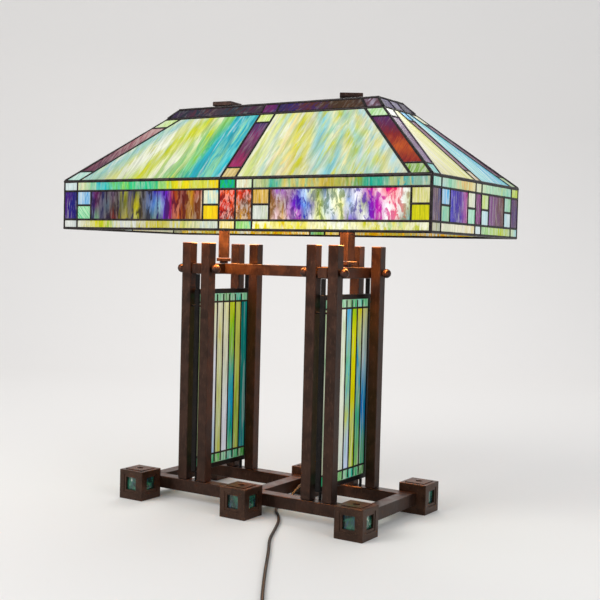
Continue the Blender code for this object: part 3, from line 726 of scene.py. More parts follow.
def wall_front(glass, came, side):
    """A long wall: border strip, a bay, two narrow uprights, and a second bay."""
    f = shade_facet(side, 0)
    x = (-0.282, -0.254, -0.042, -0.014, 0.014, 0.042, 0.070, 0.282)
    borders = [left(0), *map(at, x), right(0)]

    def pane(lo, hi, rows, tint, streak=None, **more):
        glass.pane(f, borders[lo], borders[hi], *rows, tint, streak, **more)

    # The border strip at the left end.
    pane(0, 1, HIGH, [(222, 236, 236), (206, 226, 226)])
    pane(0, 1, BODY, [(70, 50, 120), (50, 56, 130), (44, 40, 90)], [(96, 60, 130), (40, 50, 110)],
         grain=(420, 60))
    pane(0, 1, LOW, [(236, 238, 232), (214, 222, 220)])
    # The left bay.
    pane(1, 4, HIGH,
         [(226, 226, 180), (206, 222, 180), (70, 180, 200), (140, 206, 130), (120, 206, 150),
          (110, 206, 150), (90, 200, 150), (150, 206, 110), (240, 210, 50), (206, 220, 140),
          (236, 220, 110), (250, 216, 60)],
         [(236, 236, 206), (150, 214, 170), (110, 196, 206), (150, 216, 120), (90, 190, 150),
          (120, 200, 170), (190, 220, 120), (246, 226, 110), (190, 214, 130), (246, 210, 60)],
         grain=(150, 34), cell=(0.004, 0.005), warp=0.08)
    pane(1, 2, UPPER, [(150, 196, 232), (120, 176, 226)], [(196, 222, 240)])
    pane(1, 2, LOWER, [(126, 206, 164), (150, 220, 170)], [(196, 236, 200)], tilt=0.7)
    pane(2, 3, BODY, DARK_BAY, grain=(150, 26), milk=0.0, glow=0.9,
         vein=DARK_BAY_VEINS, veined=0.9, cell=(0.0018, 0.0045), warp=0.022, lift=0.10)
    pane(3, 4, UPPER, [(226, 236, 222), (140, 212, 226)], [(236, 236, 206)], grain=(300, 30))
    pane(3, 4, LOWER, [(240, 200, 60), (250, 214, 30), (244, 190, 50)], [(250, 226, 110)], milk=0.1)
    # On the back wall the foot row takes the painted gold lamplight.
    pane(1, 4, LOW, LAMPLIT_RIM_ROW if side == "back" else LEFT_FOOT_ROW, LEFT_FOOT_STREAKS,
         grain=(240, 30), cell=(0.003, 0.005), warp=0.05)
    # The two narrow uprights.
    pane(4, 5, HIGH, [(0, 150, 170), (20, 160, 160)], [(90, 190, 120)], grain=(160, 60), milk=0)
    pane(4, 5, BODY,
         [[(236, 60, 30), (250, 110, 40), (230, 40, 50)], [(220, 50, 30), (200, 60, 60), (236, 90, 40)],
          [(120, 10, 40), (220, 130, 110), (60, 20, 20)]],
         grain=(260, 110), milk=0.1, glow=1.2, vein=[(90, 8, 30), (60, 14, 14)], veined=0.8,
         cell=(0.003, 0.004))
    pane(4, 5, LOW, [(244, 206, 60), (250, 232, 150)], [(252, 240, 190)])
    pane(5, 6, HIGH, [(206, 232, 190), (240, 206, 170), (196, 226, 190)], [(236, 240, 220)])
    pane(5, 6, BODY,
         [[(250, 90, 80), (230, 40, 40), (220, 70, 50)], [(214, 120, 80), (90, 50, 20), (150, 90, 40)],
          [(236, 190, 110), (190, 140, 70), (150, 90, 40)]],
         grain=(220, 100), milk=0.15, glow=1.2, vein=[(96, 50, 20), (70, 40, 16)], veined=0.7,
         cell=(0.003, 0.004))
    pane(5, 6, LOW, [(130, 200, 110), (150, 206, 120), (120, 206, 200)], [(196, 230, 170)])
    # The right bay, whose tall pane carries painted glare: near-white patches for the bulb behind it.
    pane(6, 9, HIGH,
         [(170, 190, 150), (190, 196, 140), (90, 180, 170), (210, 206, 160), (206, 190, 110),
          (120, 190, 160), (206, 196, 140), (196, 180, 100), (180, 180, 110), (206, 190, 130),
          (150, 170, 90), (80, 170, 150), (60, 160, 140), (190, 190, 130), (90, 180, 180), (80, 170, 190),
          (214, 214, 170)],
         [(206, 206, 160), (110, 180, 150), (222, 206, 140), (200, 180, 110), (140, 170, 110),
          (96, 180, 160), (200, 200, 150), (120, 190, 190)], grain=(150, 34), cell=(0.004, 0.005), warp=0.08)
    pane(6, 7, UPPER, [(196, 160, 96), (206, 176, 110)], [(226, 196, 140)])
    pane(6, 7, LOWER, [(206, 214, 200), (190, 200, 190), (206, 220, 160)], [(226, 230, 222)])
    pane(7, 8, BODY, GLARE_LIT_BAY, grain=(150, 66), milk=0.35, glow=1.4,
         vein=BRIGHT_BAY_VEINS, veined=0.75, cell=(0.0020, 0.0028), warp=0.016, lift=0.12)
    pane(8, 9, UPPER, [(226, 222, 150), (214, 216, 140)], [(236, 232, 186)])
    pane(8, 9, LOWER, [(206, 206, 30), (196, 196, 20)], [(226, 220, 90)], milk=0.15)
    # On the back wall the foot row takes the painted gold lamplight.
    pane(6, 9, LOW, LAMPLIT_RIM_ROW if side == "back" else RIGHT_FOOT_ROW, RIGHT_FOOT_STREAKS,
         grain=(130, 60), milk=0.5, glow=1.25, cell=(0.003, 0.004), warp=0.05)

    wall_lines(came, f, borders, (1, 4, 5, 6), (2, 3, 7, 8), ((1, 2), (3, 4), (6, 7), (8, 9)))


def wall_end(glass, came, side):
    """A short wall: two bays either side of a narrow upright, with border strips at both ends."""
    f = shade_facet(side, 0)
    y = (-0.117, -0.091, -0.035, -0.010, 0.010, 0.035, 0.091, 0.117)
    borders = [left(0), *map(at, y), right(0)]

    def pane(lo, hi, rows, tint, streak=None, **more):
        glass.pane(f, borders[lo], borders[hi], *rows, tint, streak, glow=WALL_END_GLOW, **more)

    pane(0, 1, HIGH, [(150, 226, 210), (190, 234, 214)])
    pane(0, 1, BODY, [(110, 84, 130), (84, 72, 96), (90, 96, 150)], [(126, 106, 110)], grain=(420, 30))
    pane(0, 1, LOW, [(196, 190, 150), (170, 180, 150)])
    pane(1, 4, HIGH, [(226, 236, 214), (160, 220, 190), (236, 220, 180), (240, 200, 130), (236, 236, 200)],
         [(200, 230, 226), (190, 226, 180), (246, 226, 180)], grain=(200, 30))
    pane(1, 2, UPPER, [(170, 214, 244), (96, 190, 244)], [(206, 230, 246)])
    pane(1, 2, LOWER, [(140, 210, 190), (160, 210, 180)], [(196, 226, 200)])
    pane(2, 3, BODY, [(96, 100, 190), (84, 70, 160), (110, 90, 180), (170, 60, 120)],
         [(140, 130, 214), (60, 50, 130), (214, 150, 190)], grain=(260, 46), milk=0.5)
    pane(3, 4, UPPER, [(236, 238, 206), (226, 232, 214)])
    pane(3, 4, LOWER, [(150, 226, 190), (176, 230, 200)])
    pane(1, 4, LOW, [(226, 240, 206), (244, 240, 214), (244, 226, 160)], [(250, 246, 226)])
    pane(4, 5, HIGH, [(226, 230, 196)])
    pane(4, 5, BODY, [(96, 40, 84), (70, 30, 70)], [(150, 90, 140)], grain=(420, 80))
    pane(4, 5, LOW, [(216, 240, 240), (236, 244, 244)])
    pane(5, 8, HIGH, [(206, 232, 190), (170, 222, 200), (206, 226, 160), (190, 232, 226)],
         [(226, 236, 206), (150, 214, 190)], grain=(200, 30))
    pane(5, 6, UPPER, [(206, 226, 130), (196, 220, 150)])
    pane(5, 6, LOWER, [(206, 236, 236), (196, 230, 240)])
    pane(6, 7, BODY, [(110, 60, 120), (90, 50, 80), (110, 80, 76), (120, 84, 76)],
         [(140, 90, 150), (90, 64, 60)], grain=(300, 34), milk=0.25)
    pane(7, 8, UPPER, [(150, 214, 196), (140, 206, 150)])
    pane(7, 8, LOWER, [(196, 230, 236), (216, 238, 240)])
    pane(5, 8, LOW, [(150, 210, 160), (196, 214, 110), (200, 210, 60)], [(206, 226, 190)])
    pane(8, 9, HIGH, [(196, 220, 90), (206, 226, 110)])
    pane(8, 9, BODY, [(100, 50, 96), (96, 70, 70)], [(80, 60, 110)], grain=(420, 30))
    pane(8, 9, LOW, [(206, 220, 150), (176, 226, 236)])

    wall_lines(came, f, borders, (1, 4, 5, 8), (2, 3, 6, 7), ((1, 2), (3, 4), (5, 6), (7, 8)))


def strip(glass, came, f, lo, hi, low, middle, high):
    """A border strip of the roof, with a small square at its foot and another at its head."""
    glass.pane(f, lo, hi, EAVES_Z, ROOF_LOW_SQUARE, *low)
    glass.pane(f, lo, hi, ROOF_LOW_SQUARE, ROOF_HIGH_SQUARE, *middle,
               grain=(300, 36), milk=0.12, down=True, glow=0.8, cell=(0.004, 0.006), warp=0.09)
    glass.pane(f, lo, hi, ROOF_HIGH_SQUARE, SHOULDER_Z, *high)
    for z in (ROOF_LOW_SQUARE, ROOF_HIGH_SQUARE):
        came.level(f, lo, hi, z)


def roof(glass, came, side, hip, middle, strips, bays):
    """A roof side: strips along both hips and up the middle, and a tall pane in each of the bays between."""
    f = shade_facet(side, 1)
    borders = [left(0), left(hip), at(-middle), at(middle), right(hip), right(0)]
    for k, (lo, hi) in enumerate(zip(borders, borders[1:], strict=False)):
        if k % 2:
            tint, streak, look = bays[k // 2]
            glass.pane(f, lo, hi, EAVES_Z, SHOULDER_Z, tint, streak, **look)
        else:
            strip(glass, came, f, lo, hi, *strips[k // 2])
    for border in borders[1:-1]:
        came.line(f, border, EAVES_Z, SHOULDER_Z, ROOF_LINE)


# Each strip is its foot square's, its own and its head square's colours, and each bay is its pane's.
LONG_ROOF_STRIPS = (
    (([(196, 230, 220), (176, 222, 206)],),
     ([(196, 150, 150), (150, 96, 106), (96, 50, 70), (70, 40, 60)], [(206, 180, 176), (110, 60, 80)]),
     ([(206, 226, 170), (190, 220, 120)],)),
    (([(206, 186, 130), (190, 170, 120)], [(226, 206, 160)]),
     ([(84, 50, 100), (120, 40, 90), (96, 44, 80), (150, 24, 90), (150, 20, 60)],
      [(60, 44, 90), (130, 90, 120), (80, 30, 60), (170, 50, 110)]),
     ([(206, 222, 120), (190, 222, 150)], [(222, 230, 170)])),
    (([(130, 170, 84), (150, 180, 110)],),
     ([(90, 40, 90), (96, 30, 60), (150, 50, 40), (180, 70, 30), (160, 44, 40)],
      [(70, 36, 90), (120, 36, 50), (200, 90, 40), (110, 30, 50)]),
     ([(170, 214, 150), (190, 222, 170)], [(206, 230, 196)])),
)
LONG_ROOF_BAYS = (
    ([(204, 222, 184), (180, 210, 196), (196, 216, 206), (226, 230, 212), (218, 226, 196), (180, 204, 110),
      (214, 218, 100), (212, 226, 180), (230, 234, 206), (206, 220, 100), (140, 200, 120), (96, 186, 160),
      (70, 166, 190), (140, 210, 206), (70, 180, 200)],
     [(228, 232, 212), (140, 186, 196), (230, 232, 200), (238, 240, 226), (200, 212, 130), (222, 224, 140),
      (240, 240, 220), (180, 210, 140), (140, 206, 160), (70, 166, 196), (170, 220, 170), (50, 166, 190)],
     {"grain": (95, 13), "milk": 0.5, "veined": 0.6, "cell": (0.0036, 0.008), "warp": 0.06,
      "vein": [(130, 194, 206), (200, 204, 110), (210, 208, 80), (100, 184, 110), (40, 140, 150),
               (60, 150, 190)]}),
    ([(222, 228, 190), (236, 232, 170), (190, 214, 206), (222, 222, 150), (236, 228, 170), (206, 214, 190),
      (226, 222, 150), (160, 206, 206), (222, 216, 90), (170, 210, 190), (226, 228, 196), (180, 214, 214),
      (222, 222, 140), (170, 210, 216), (226, 230, 206)],
     [(240, 240, 216), (214, 220, 140), (226, 230, 216), (240, 224, 170), (206, 206, 90), (226, 226, 200),
      (150, 206, 214), (236, 232, 190), (190, 196, 90), (206, 226, 220), (236, 226, 170), (190, 220, 222)],
     {"grain": (80, 13), "milk": 0.55, "veined": 0.4, "cell": (0.0036, 0.008), "warp": 0.06,
      "vein": [(206, 206, 90), (140, 200, 200), (200, 190, 80), (120, 190, 196), (150, 190, 130),
               (206, 196, 110)]}),
)
SHORT_ROOF_STRIPS = (
    (([(110, 206, 200), (150, 220, 214)],),
     ([(130, 100, 140), (110, 76, 110), (130, 100, 140)], [(96, 66, 104), (160, 140, 170)]),
     ([(236, 238, 226)],)),
    (([(206, 186, 150)],),
     ([(120, 84, 96), (110, 76, 84), (130, 96, 110)], [(150, 110, 130)]),
     ([(110, 190, 236)], [(150, 210, 240)])),
    (([(190, 220, 170)],),
     ([(84, 56, 84), (70, 48, 70)], [(120, 90, 110)]),
     ([(226, 226, 190)],)),
)
SHORT_ROOF_BAYS = (
    ([(236, 232, 170), (240, 236, 186), (226, 232, 200)], [(244, 240, 214), (222, 222, 130)],
     {"grain": (120, 10), "milk": 0.7}),
    ([(150, 214, 214), (120, 190, 226), (150, 206, 232)], [(190, 226, 226), (110, 200, 190)],
     {"grain": (120, 10), "milk": 0.6}),
)


def top_band(glass, came, side, joints, colors, glow):
    """The dark band under the flat top, in pieces between the joints."""
    f = shade_facet(side, 2)
    borders = [left(0), *joints, right(0)]
    for k, (tint, streak) in enumerate(colors):
        glass.pane(f, borders[k], borders[k + 1], SHOULDER_Z, TOP_Z, tint, streak,
                   grain=(150, 60), milk=0.12, glow=glow, tilt=-0.5)
    for border in joints:
        came.line(f, border, SHOULDER_Z, TOP_Z, ROOF_LINE)


def shade_light(place, normal):
    """The glow of the shade's glass: never dark, and never burnt out beside a bulb."""
    lit = bulb_light(place, normal)
    return 0.24 + 0.42 * lit / (1 + lit)


def corners(x, y, z):
    """The corners of a level rectangle round the lamp's middle."""
    return [Vector((sx * x, sy * y, z)) for sx, sy in ((-1, -1), (1, -1), (1, 1), (-1, 1))]


def edge_beads(came):
    """The round beads along the shade's level outlines, its sloping edges and the top plate's joint."""
    rings = [corners(*ring) for ring in zip(HALF_LONG, HALF_DEEP, LEVELS, strict=True)]
    for ring, radius in zip(rings, (0.0021, 0.0025, 0.0021, 0.0021), strict=True):
        rise = radius if ring is rings[0] else -0.0006
        for a, b in zip(ring, ring[1:] + ring[:1], strict=True):
            shift = Vector((-(a.x + b.x), -(a.y + b.y), 0)).normalized() * BEAD_IN + UP * rise
            came.tube(a + shift, b + shift, radius)
    for low, high in zip(rings, rings[1:], strict=False):
        for a, b in zip(low, high, strict=True):
            pull = Vector((-math.copysign(1, a.x), -math.copysign(1, a.y), 0)) * BEAD_IN
            came.tube(a + pull + UP * HIP_GAP, b + pull - UP * HIP_GAP, HIP_BEAD)
    plate_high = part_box("shade_top_plate")[1]
    bead = corners(plate_high.x + PLATE_BEAD_OUT, plate_high.y + PLATE_BEAD_OUT, TOP_Z - PLATE_BEAD_DOWN)
    for a, b in zip(bead, bead[1:] + bead[:1], strict=True):
        came.tube(a, b, PLATE_BEAD, 8)


def make_shade():
    glass, came = Glasswork(shade_light), Came()
    for side in ("front", "back"):
        wall_front(glass, came, side)
        roof(glass, came, side, 0.030, 0.013, LONG_ROOF_STRIPS, LONG_ROOF_BAYS)
        top_band(
            glass, came, side, (at(-0.013), at(0.013), right(0.027)),
            [
                ([(20, 18, 30), (30, 30, 50), (26, 44, 60), (44, 30, 60), (70, 40, 50), (60, 40, 36),
                  (80, 30, 60), (56, 40, 70)],
                 [(50, 30, 70), (84, 44, 50), (36, 56, 70), (70, 50, 60)]),
                ([(90, 24, 80), (60, 40, 120)], [(110, 40, 100)]),
                ([(70, 50, 50), (50, 46, 120), (80, 40, 70), (60, 40, 100), (70, 44, 30), (76, 50, 30),
                  (60, 40, 36)],
                 [(44, 36, 90), (96, 50, 50), (70, 50, 30), (90, 66, 50)]),
                ([(90, 56, 66), (196, 186, 204), (90, 56, 64)], [(110, 80, 90)]),
            ], 0.45)
    for side in ("right", "left"):
        wall_end(glass, came, side)
        roof(glass, came, side, 0.025, 0.010, SHORT_ROOF_STRIPS, SHORT_ROOF_BAYS)
        top_band(glass, came, side, (at(-0.012), at(0.014)),
                 [([(96, 84, 120)], [(130, 120, 150)]), ([(90, 72, 100)], [(160, 154, 180)]),
                  ([(66, 60, 80)], [(100, 90, 110)])], 0.5)
    edge_beads(came)

    panes = glass.finish("shade_glass_panes", "shade", "shade_glass", SHADE_GLASS)
    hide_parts("shade_leaded_glass")
    came.finish("shade_came", "shade", "shade_glass")


# ---- the pedestal panels -------------------------------------------------------------------------
PANEL_LOW, PANEL_BOTTOM_ROW, PANEL_TOP_ROW, PANEL_HIGH = 0.0518, 0.066, 0.301, 0.3137
PANEL_X = 0.11025  # the middle of a panel's thickness
PANEL_REACH = 0.0625  # half its length
PANEL_STRIPS = 8
PANEL_LINE = 0.0030  # its cames' width
TUCK = -0.0004  # the outermost panes reach into the frame's groove

LEFT_PANEL = [
    ([(150, 200, 140), (190, 214, 130), (120, 180, 150)], [(206, 222, 170)]),
    ([(222, 222, 150), (190, 206, 170), (206, 214, 140)], [(232, 230, 190)]),
    ([(226, 228, 170), (236, 236, 246), (236, 238, 250), (120, 190, 240)], None),
    ([(230, 230, 206), (222, 214, 130), (226, 222, 170), (210, 214, 130), (206, 212, 150), (200, 200, 70)],
     [(236, 232, 206), (206, 214, 150)]),
    ([(230, 226, 150), (226, 222, 190), (222, 226, 206), (236, 236, 246), (236, 236, 250)], None),
    ([(190, 206, 60), (150, 206, 90), (150, 190, 90), (80, 170, 206), (110, 190, 206), (30, 150, 120),
      (130, 206, 150)],
     [(206, 214, 90), (110, 190, 90), (60, 160, 210), (60, 170, 130)]),
    ([(200, 196, 130), (190, 200, 96), (176, 200, 100), (170, 190, 110)], [(200, 206, 120)]),
    ([(50, 160, 150), (50, 140, 130), (30, 120, 110), (40, 130, 150)], [(30, 110, 110), (80, 160, 150)]),
]
RIGHT_PANEL = [
    ([(196, 222, 170), (150, 200, 160), (214, 226, 190)], [(226, 234, 206)]),
    ([(222, 220, 150), (206, 210, 110), (226, 226, 190)], [(236, 234, 196)]),
    ([(150, 200, 200), (190, 220, 200), (120, 180, 180)], [(206, 228, 220)]),
    ([(214, 232, 200), (222, 236, 180), (236, 240, 226), (226, 238, 226)], [(240, 244, 226)]),
    ([(80, 170, 230), (200, 206, 160), (110, 190, 150), (20, 150, 220), (200, 210, 50), (214, 222, 250),
      (226, 230, 250)],
     [(130, 200, 230), (150, 206, 150), (190, 214, 236)]),
    ([(90, 190, 40), (226, 222, 0), (230, 220, 0), (222, 214, 0), (190, 206, 130), (170, 190, 60),
      (176, 206, 20)],
     [(190, 206, 30), (236, 226, 40), (214, 222, 160)]),
    ([(214, 206, 50), (160, 200, 140), (30, 150, 200), (150, 180, 150), (100, 190, 150), (100, 180, 30),
      (220, 226, 210)],
     [(226, 214, 90), (60, 160, 190), (130, 190, 90)]),
    ([(200, 200, 130), (190, 190, 170), (180, 190, 190), (0, 120, 190), (0, 110, 190), (90, 160, 100),
      (80, 180, 150)],
     [(206, 206, 150), (150, 190, 200), (30, 140, 190), (110, 170, 110)]),
]
SQUARES = [(120, 200, 150), (50, 170, 110), (80, 184, 130), (80, 160, 80), (60, 184, 150), (100, 184, 90),
           (40, 164, 124), (130, 200, 150), (60, 174, 110)]


def make_panel(side, x, colors):
    # The panels' glass gets a painted glow, stronger towards the top, though no lamp lies behind it.
    glass = Glasswork(lambda p, n: 0.36 + 0.14 * max(0.0, (p.z - 0.12) / 0.2))
    came = Came()
    # Drawn on the face that looks along +X, with its middle on the panel's middle.
    depth = x + SHEET / 2
    f = Facet((0, 1, 0), (1, 0, 0), (PANEL_LOW, PANEL_REACH, depth), (PANEL_HIGH, PANEL_REACH, depth))
    pitch = 2 * PANEL_REACH / PANEL_STRIPS
    borders = [at(-PANEL_REACH + pitch * k) for k in range(PANEL_STRIPS + 1)]
    for k, (lo, hi) in enumerate(zip(borders, borders[1:], strict=False)):
        foot, head = [SQUARES[(k * 4 + 2) % 9]], [SQUARES[(k * 5 + 1) % 9]]
        glass.pane(f, lo, hi, PANEL_LOW, PANEL_BOTTOM_ROW, foot, outer=TUCK)
        glass.pane(f, lo, hi, PANEL_BOTTOM_ROW, PANEL_TOP_ROW, *colors[k], outer=TUCK,
                   grain=(210, 14), milk=0.3, down=True, cell=(0.0045, 0.009), warp=0.06)
        glass.pane(f, lo, hi, PANEL_TOP_ROW, PANEL_HIGH, head, outer=TUCK)
        if k:
            came.line(f, lo, PANEL_LOW, PANEL_HIGH, PANEL_LINE)
    for z in (PANEL_BOTTOM_ROW, PANEL_TOP_ROW):
        came.level(f, borders[0], borders[-1], z, PANEL_LINE)
    panes = glass.finish(f"{side}_panel_panes", "stand", "panel_glass", PANEL_GLASS)
    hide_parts(f"{side}_panel_glass")
    came.finish(f"{side}_panel_came", "stand", "panel_glass")
    return panes


# ---- feet ----------------------------------------------------------------------------------------
def foot_glass_material():
    """Dark green and blue pressed glass, with paler patches that differ from foot to foot, and a faint
    painted glow.
    """
    made = Shader("foot_glass", roughness=0.14, coat=0.4)
    place = made.position()
    patch = made.noise(place, 55, 3, 0.6, 1.0)
    streak = made.noise(made.position((1, 1, 0.3), (3, 1, 2)), 150, 4, 0.6, 0.8)
    color = made.mix(made.band(patch, 0.40, 0.60), srgb(14, 44, 38), srgb(34, 96, 74))
    color = made.mix(made.band(streak, 0.50, 0.66, 0, 0.8), color, srgb(28, 60, 92))
    color = made.mix(made.band(patch, 0.60, 0.74, 0, 0.8), color, srgb(196, 206, 190))
    made.feed("Base Color", color)
    # A faint painted glow: the glass gives off a little of its own colour.
    made.feed("Emission Color", color)
    made.shader.inputs["Emission Strength"].default_value = 0.05
    made.bump(streak, 0.2, 0.0006)
    made.bump(made.noise(place, 300, 2, 0.5), 0.1, 0.0004)
    return made.material


# ---- lights, bolts and small metal ---------------------------------------------------------------
BOLT_Z, POST_Y, BALL_R = 0.352, 0.062, 0.00675
SEAT = 0.0059  # from a post's face to a ball's middle
SEAT_GAP = 0.0003  # between a ball's seat and the post
SHANK_R, COLLAR_R, SHANK_END = 0.0029, 0.0033, 0.0065


def make_bolts():
    """Bolts with smooth ball heads, and ball nuts with a small collar."""
    outer_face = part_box("front_right_outer_post")[1].x + SEAT_GAP
    inner_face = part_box("front_right_inner_post")[0].x - SEAT_GAP
    end = inner_face - SHANK_END
    flat = math.degrees(math.acos(SEAT / BALL_R))
    head = ball_profile(outer_face + SEAT, BALL_R, flat, 180, 20)
    nut = ball_profile(inner_face - SEAT, BALL_R, 0, 180 - flat, 20)
    for side, sign in (("left", -1), ("right", 1)):
        for row_name, row in (("front", -1), ("back", 1)):
            for piece, node, profile in (
                ("ball_bolt", "clamp_bolt", [(end, 0.0), (end, SHANK_R), (outer_face, SHANK_R), *head]),
                ("ball_end", "ball_nut", [*nut, (inner_face, COLLAR_R), (end, COLLAR_R), (end, 0.0)]),
            ):
                turned = lathe(f"{row_name}_{side}_{piece}", profile, (0, row * POST_Y, BOLT_Z), (sign, 0, 0),
                               "stand", CAP_BRONZE)
                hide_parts(f"{row_name}_{side}_{node}")


GLOBE_R = 0.023
THREAD_STEPS, THREAD_RIDGES = 55, 9 * 55 / 56  # just under nine ridges
THREAD_R, THREAD_DEPTH = 0.0061, 0.0004


def make_bulbs():
    """Each bulb's globe is one piece, and its threaded metal base with the contact is another."""
    neck = [(0.0535, 0.0), (0.0535, 0.0062), (0.0550, 0.0074), (0.0575, 0.0086)]
    globe_profile = [*neck, *ball_profile(BULB_AHEAD, GLOBE_R, 24, 180, 28)]
    base_profile = [(0.023, 0.0), (0.023, 0.0026), (0.0245, 0.0030), (0.0250, 0.0058)]
    for k in range(THREAD_STEPS + 1):
        share = k / THREAD_STEPS
        radius = THREAD_R + THREAD_DEPTH * math.cos(share * math.pi * 2 * THREAD_RIDGES)
        base_profile.append((0.026 + 0.0245 * share, radius))
    base_profile += [(0.0530, 0.0064), (0.0534, 0.0056), (0.0534, 0.0)]
    for side, x in (("left", -STEM_X), ("right", STEM_X)):
        for where, way in (("left", -1), ("right", 1)):
            node, place = f"{side}_stem_{where}_bulb", (x, 0, SOCKET_Z)
            globe = lathe(f"{node}_globe", globe_profile, place, (way, 0, 0), node, BULB, 48)
            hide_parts(node)
            lathe(f"{node}_base", base_profile, place, (way, 0, 0), node, SOCKET_BRASS, 32)


def paint_nodes():
    """The carried-over pieces take the detailed material that their name's ending calls for."""
    looks = {
        "foot_glass": FOOT_GLASS, "foot": FOOT_BRONZE, "socket_cluster": SOCKET_BRASS,
        "switch_knob": KNOB_BLACK, "_cap": CAP_BRONZE, "panel_frame": BLACK_FRAME,
        "mains_plug": PLUG_BLACK, "cord_tie": PLUG_BLACK, "cord": CORD_BLACK, "cord_coil": CORD_BLACK,
    }
    for name, obj in NODES.items():
        found = next((look for ending, look in looks.items() if name.endswith(ending)), BRONZE)
        obj.data.materials.clear()
        obj.data.materials.append(found)


# ---- cord ----------------------------------------------------------------------------------------
CORD_D = 0.0042
CORD_ROUTE = (  # from the bushing to the coil's first turn
    (0.0156, 0.0472, 0.0220),
    (0.0156, 0.0380, 0.0212),
    (0.0155, 0.0240, 0.0158),
    (0.0150, 0.0080, 0.0076),
    (0.0148, -0.0080, 0.0030),
    (0.0180, -0.0270, 0.0023),
    (0.0290, -0.0460, 0.0023),
    (0.0480, -0.0690, 0.0023),
    (0.0660, -0.0960, 0.0023),
    (0.0830, -0.1290, 0.0023),
    (0.1080, -0.1790, 0.0023),
    (0.1400, -0.2300, 0.0023),
    (0.1880, -0.3080, 0.0023),
    (0.2300, -0.3740, 0.0023),
    (0.2560, -0.4120, 0.0023),
    (0.2776, -0.4431, 0.0023),
)
COIL_SLOTS = ((1, 0), (0, 0), (-1, 0), (-1, 1), (0, 1), (1, 1), (-1, 2), (0, 2), (1, 2))
COIL_START, COIL_END = math.radians(202), math.radians(360)
TURN_STEPS = 24
SHIFT = 0.20  # the last share of each turn, in which the cord moves to its next place in the bundle
PLUG_Z = 0.0077  # the plug's middle above the floor
BLADE_X = 0.00635  # from the plug's middle to a blade's
SQUARENESS = 3.2  # of the plug's section: 2 is an ellipse, and more is squarer
RELIEF_R = 0.0044  # the strain relief at its thick end


def coil_points():
    """The stored turns: each lies in its own place of a bundle three wide and three high."""
    low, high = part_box("cord_coil")
    middle = (low + high) / 2
    radius = (high.x - low.x) / 2 - 1.5 * CORD_D
    total = COIL_END + 2 * math.pi * (len(COIL_SLOTS) - 1) - COIL_START
    count = round(total / (2 * math.pi) * TURN_STEPS)
    found = []
    for k in range(count + 1):
        angle = COIL_START + total * k / count
        turn = (angle - COIL_START) / (2 * math.pi)
        now = min(int(turn), len(COIL_SLOTS) - 1)
        after = min(now + 1, len(COIL_SLOTS) - 1)
        share = max(0.0, (turn - now - (1 - SHIFT)) / SHIFT)
        share = share * share * (3 - 2 * share)
        across = COIL_SLOTS[now][0] * (1 - share) + COIL_SLOTS[after][0] * share
        up = COIL_SLOTS[now][1] * (1 - share) + COIL_SLOTS[after][1] * share
        r = radius + across * CORD_D
        z = low.z + CORD_D / 2 + up * CORD_D
        found.append(Vector((middle.x + r * math.cos(angle), middle.y + r * math.sin(angle), z)))
    return found


def smooth(points, spacing):
    """Points about a spacing apart on a Catmull-Rom curve through the given ones."""
    known = [Vector(p) for p in points]
    known = [2 * known[0] - known[1], *known, 2 * known[-1] - known[-2]]
    found = []
    for a, b, c, d in zip(known, known[1:], known[2:], known[3:], strict=False):
        count = max(1, round((c - b).length / spacing))
        for i in range(count):
            t = i / count
            found.append(
                0.5 * (2 * b + (c - a) * t + (2 * a - 5 * b + 4 * c - d) * t**2
                       + (3 * b - a - 3 * c + d) * t**3)
            )
    found.append(known[-2])
    return found


def make_tube(name, points, radius, resolution=4, taper=None):
    """A round black cord piece along the points; taper gives its thickness at a share of its length."""
    curve = bpy.data.curves.new(name, "CURVE")
    curve.dimensions = "3D"
    curve.bevel_depth = radius
    curve.bevel_resolution = resolution
    curve.use_fill_caps = True
    spline = curve.splines.new("POLY")
    spline.points.add(len(points) - 1)
    for k, (point, place) in enumerate(zip(spline.points, points, strict=True)):
        point.co = (*place, 1.0)
        if taper:
            point.radius = taper(k / (len(points) - 1))
    spline.use_smooth = True
    curve.materials.append(CORD_BLACK)
    obj = bpy.data.objects.new(name, curve)
    bpy.context.scene.collection.objects.link(obj)
    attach(obj, "stand")
    return obj


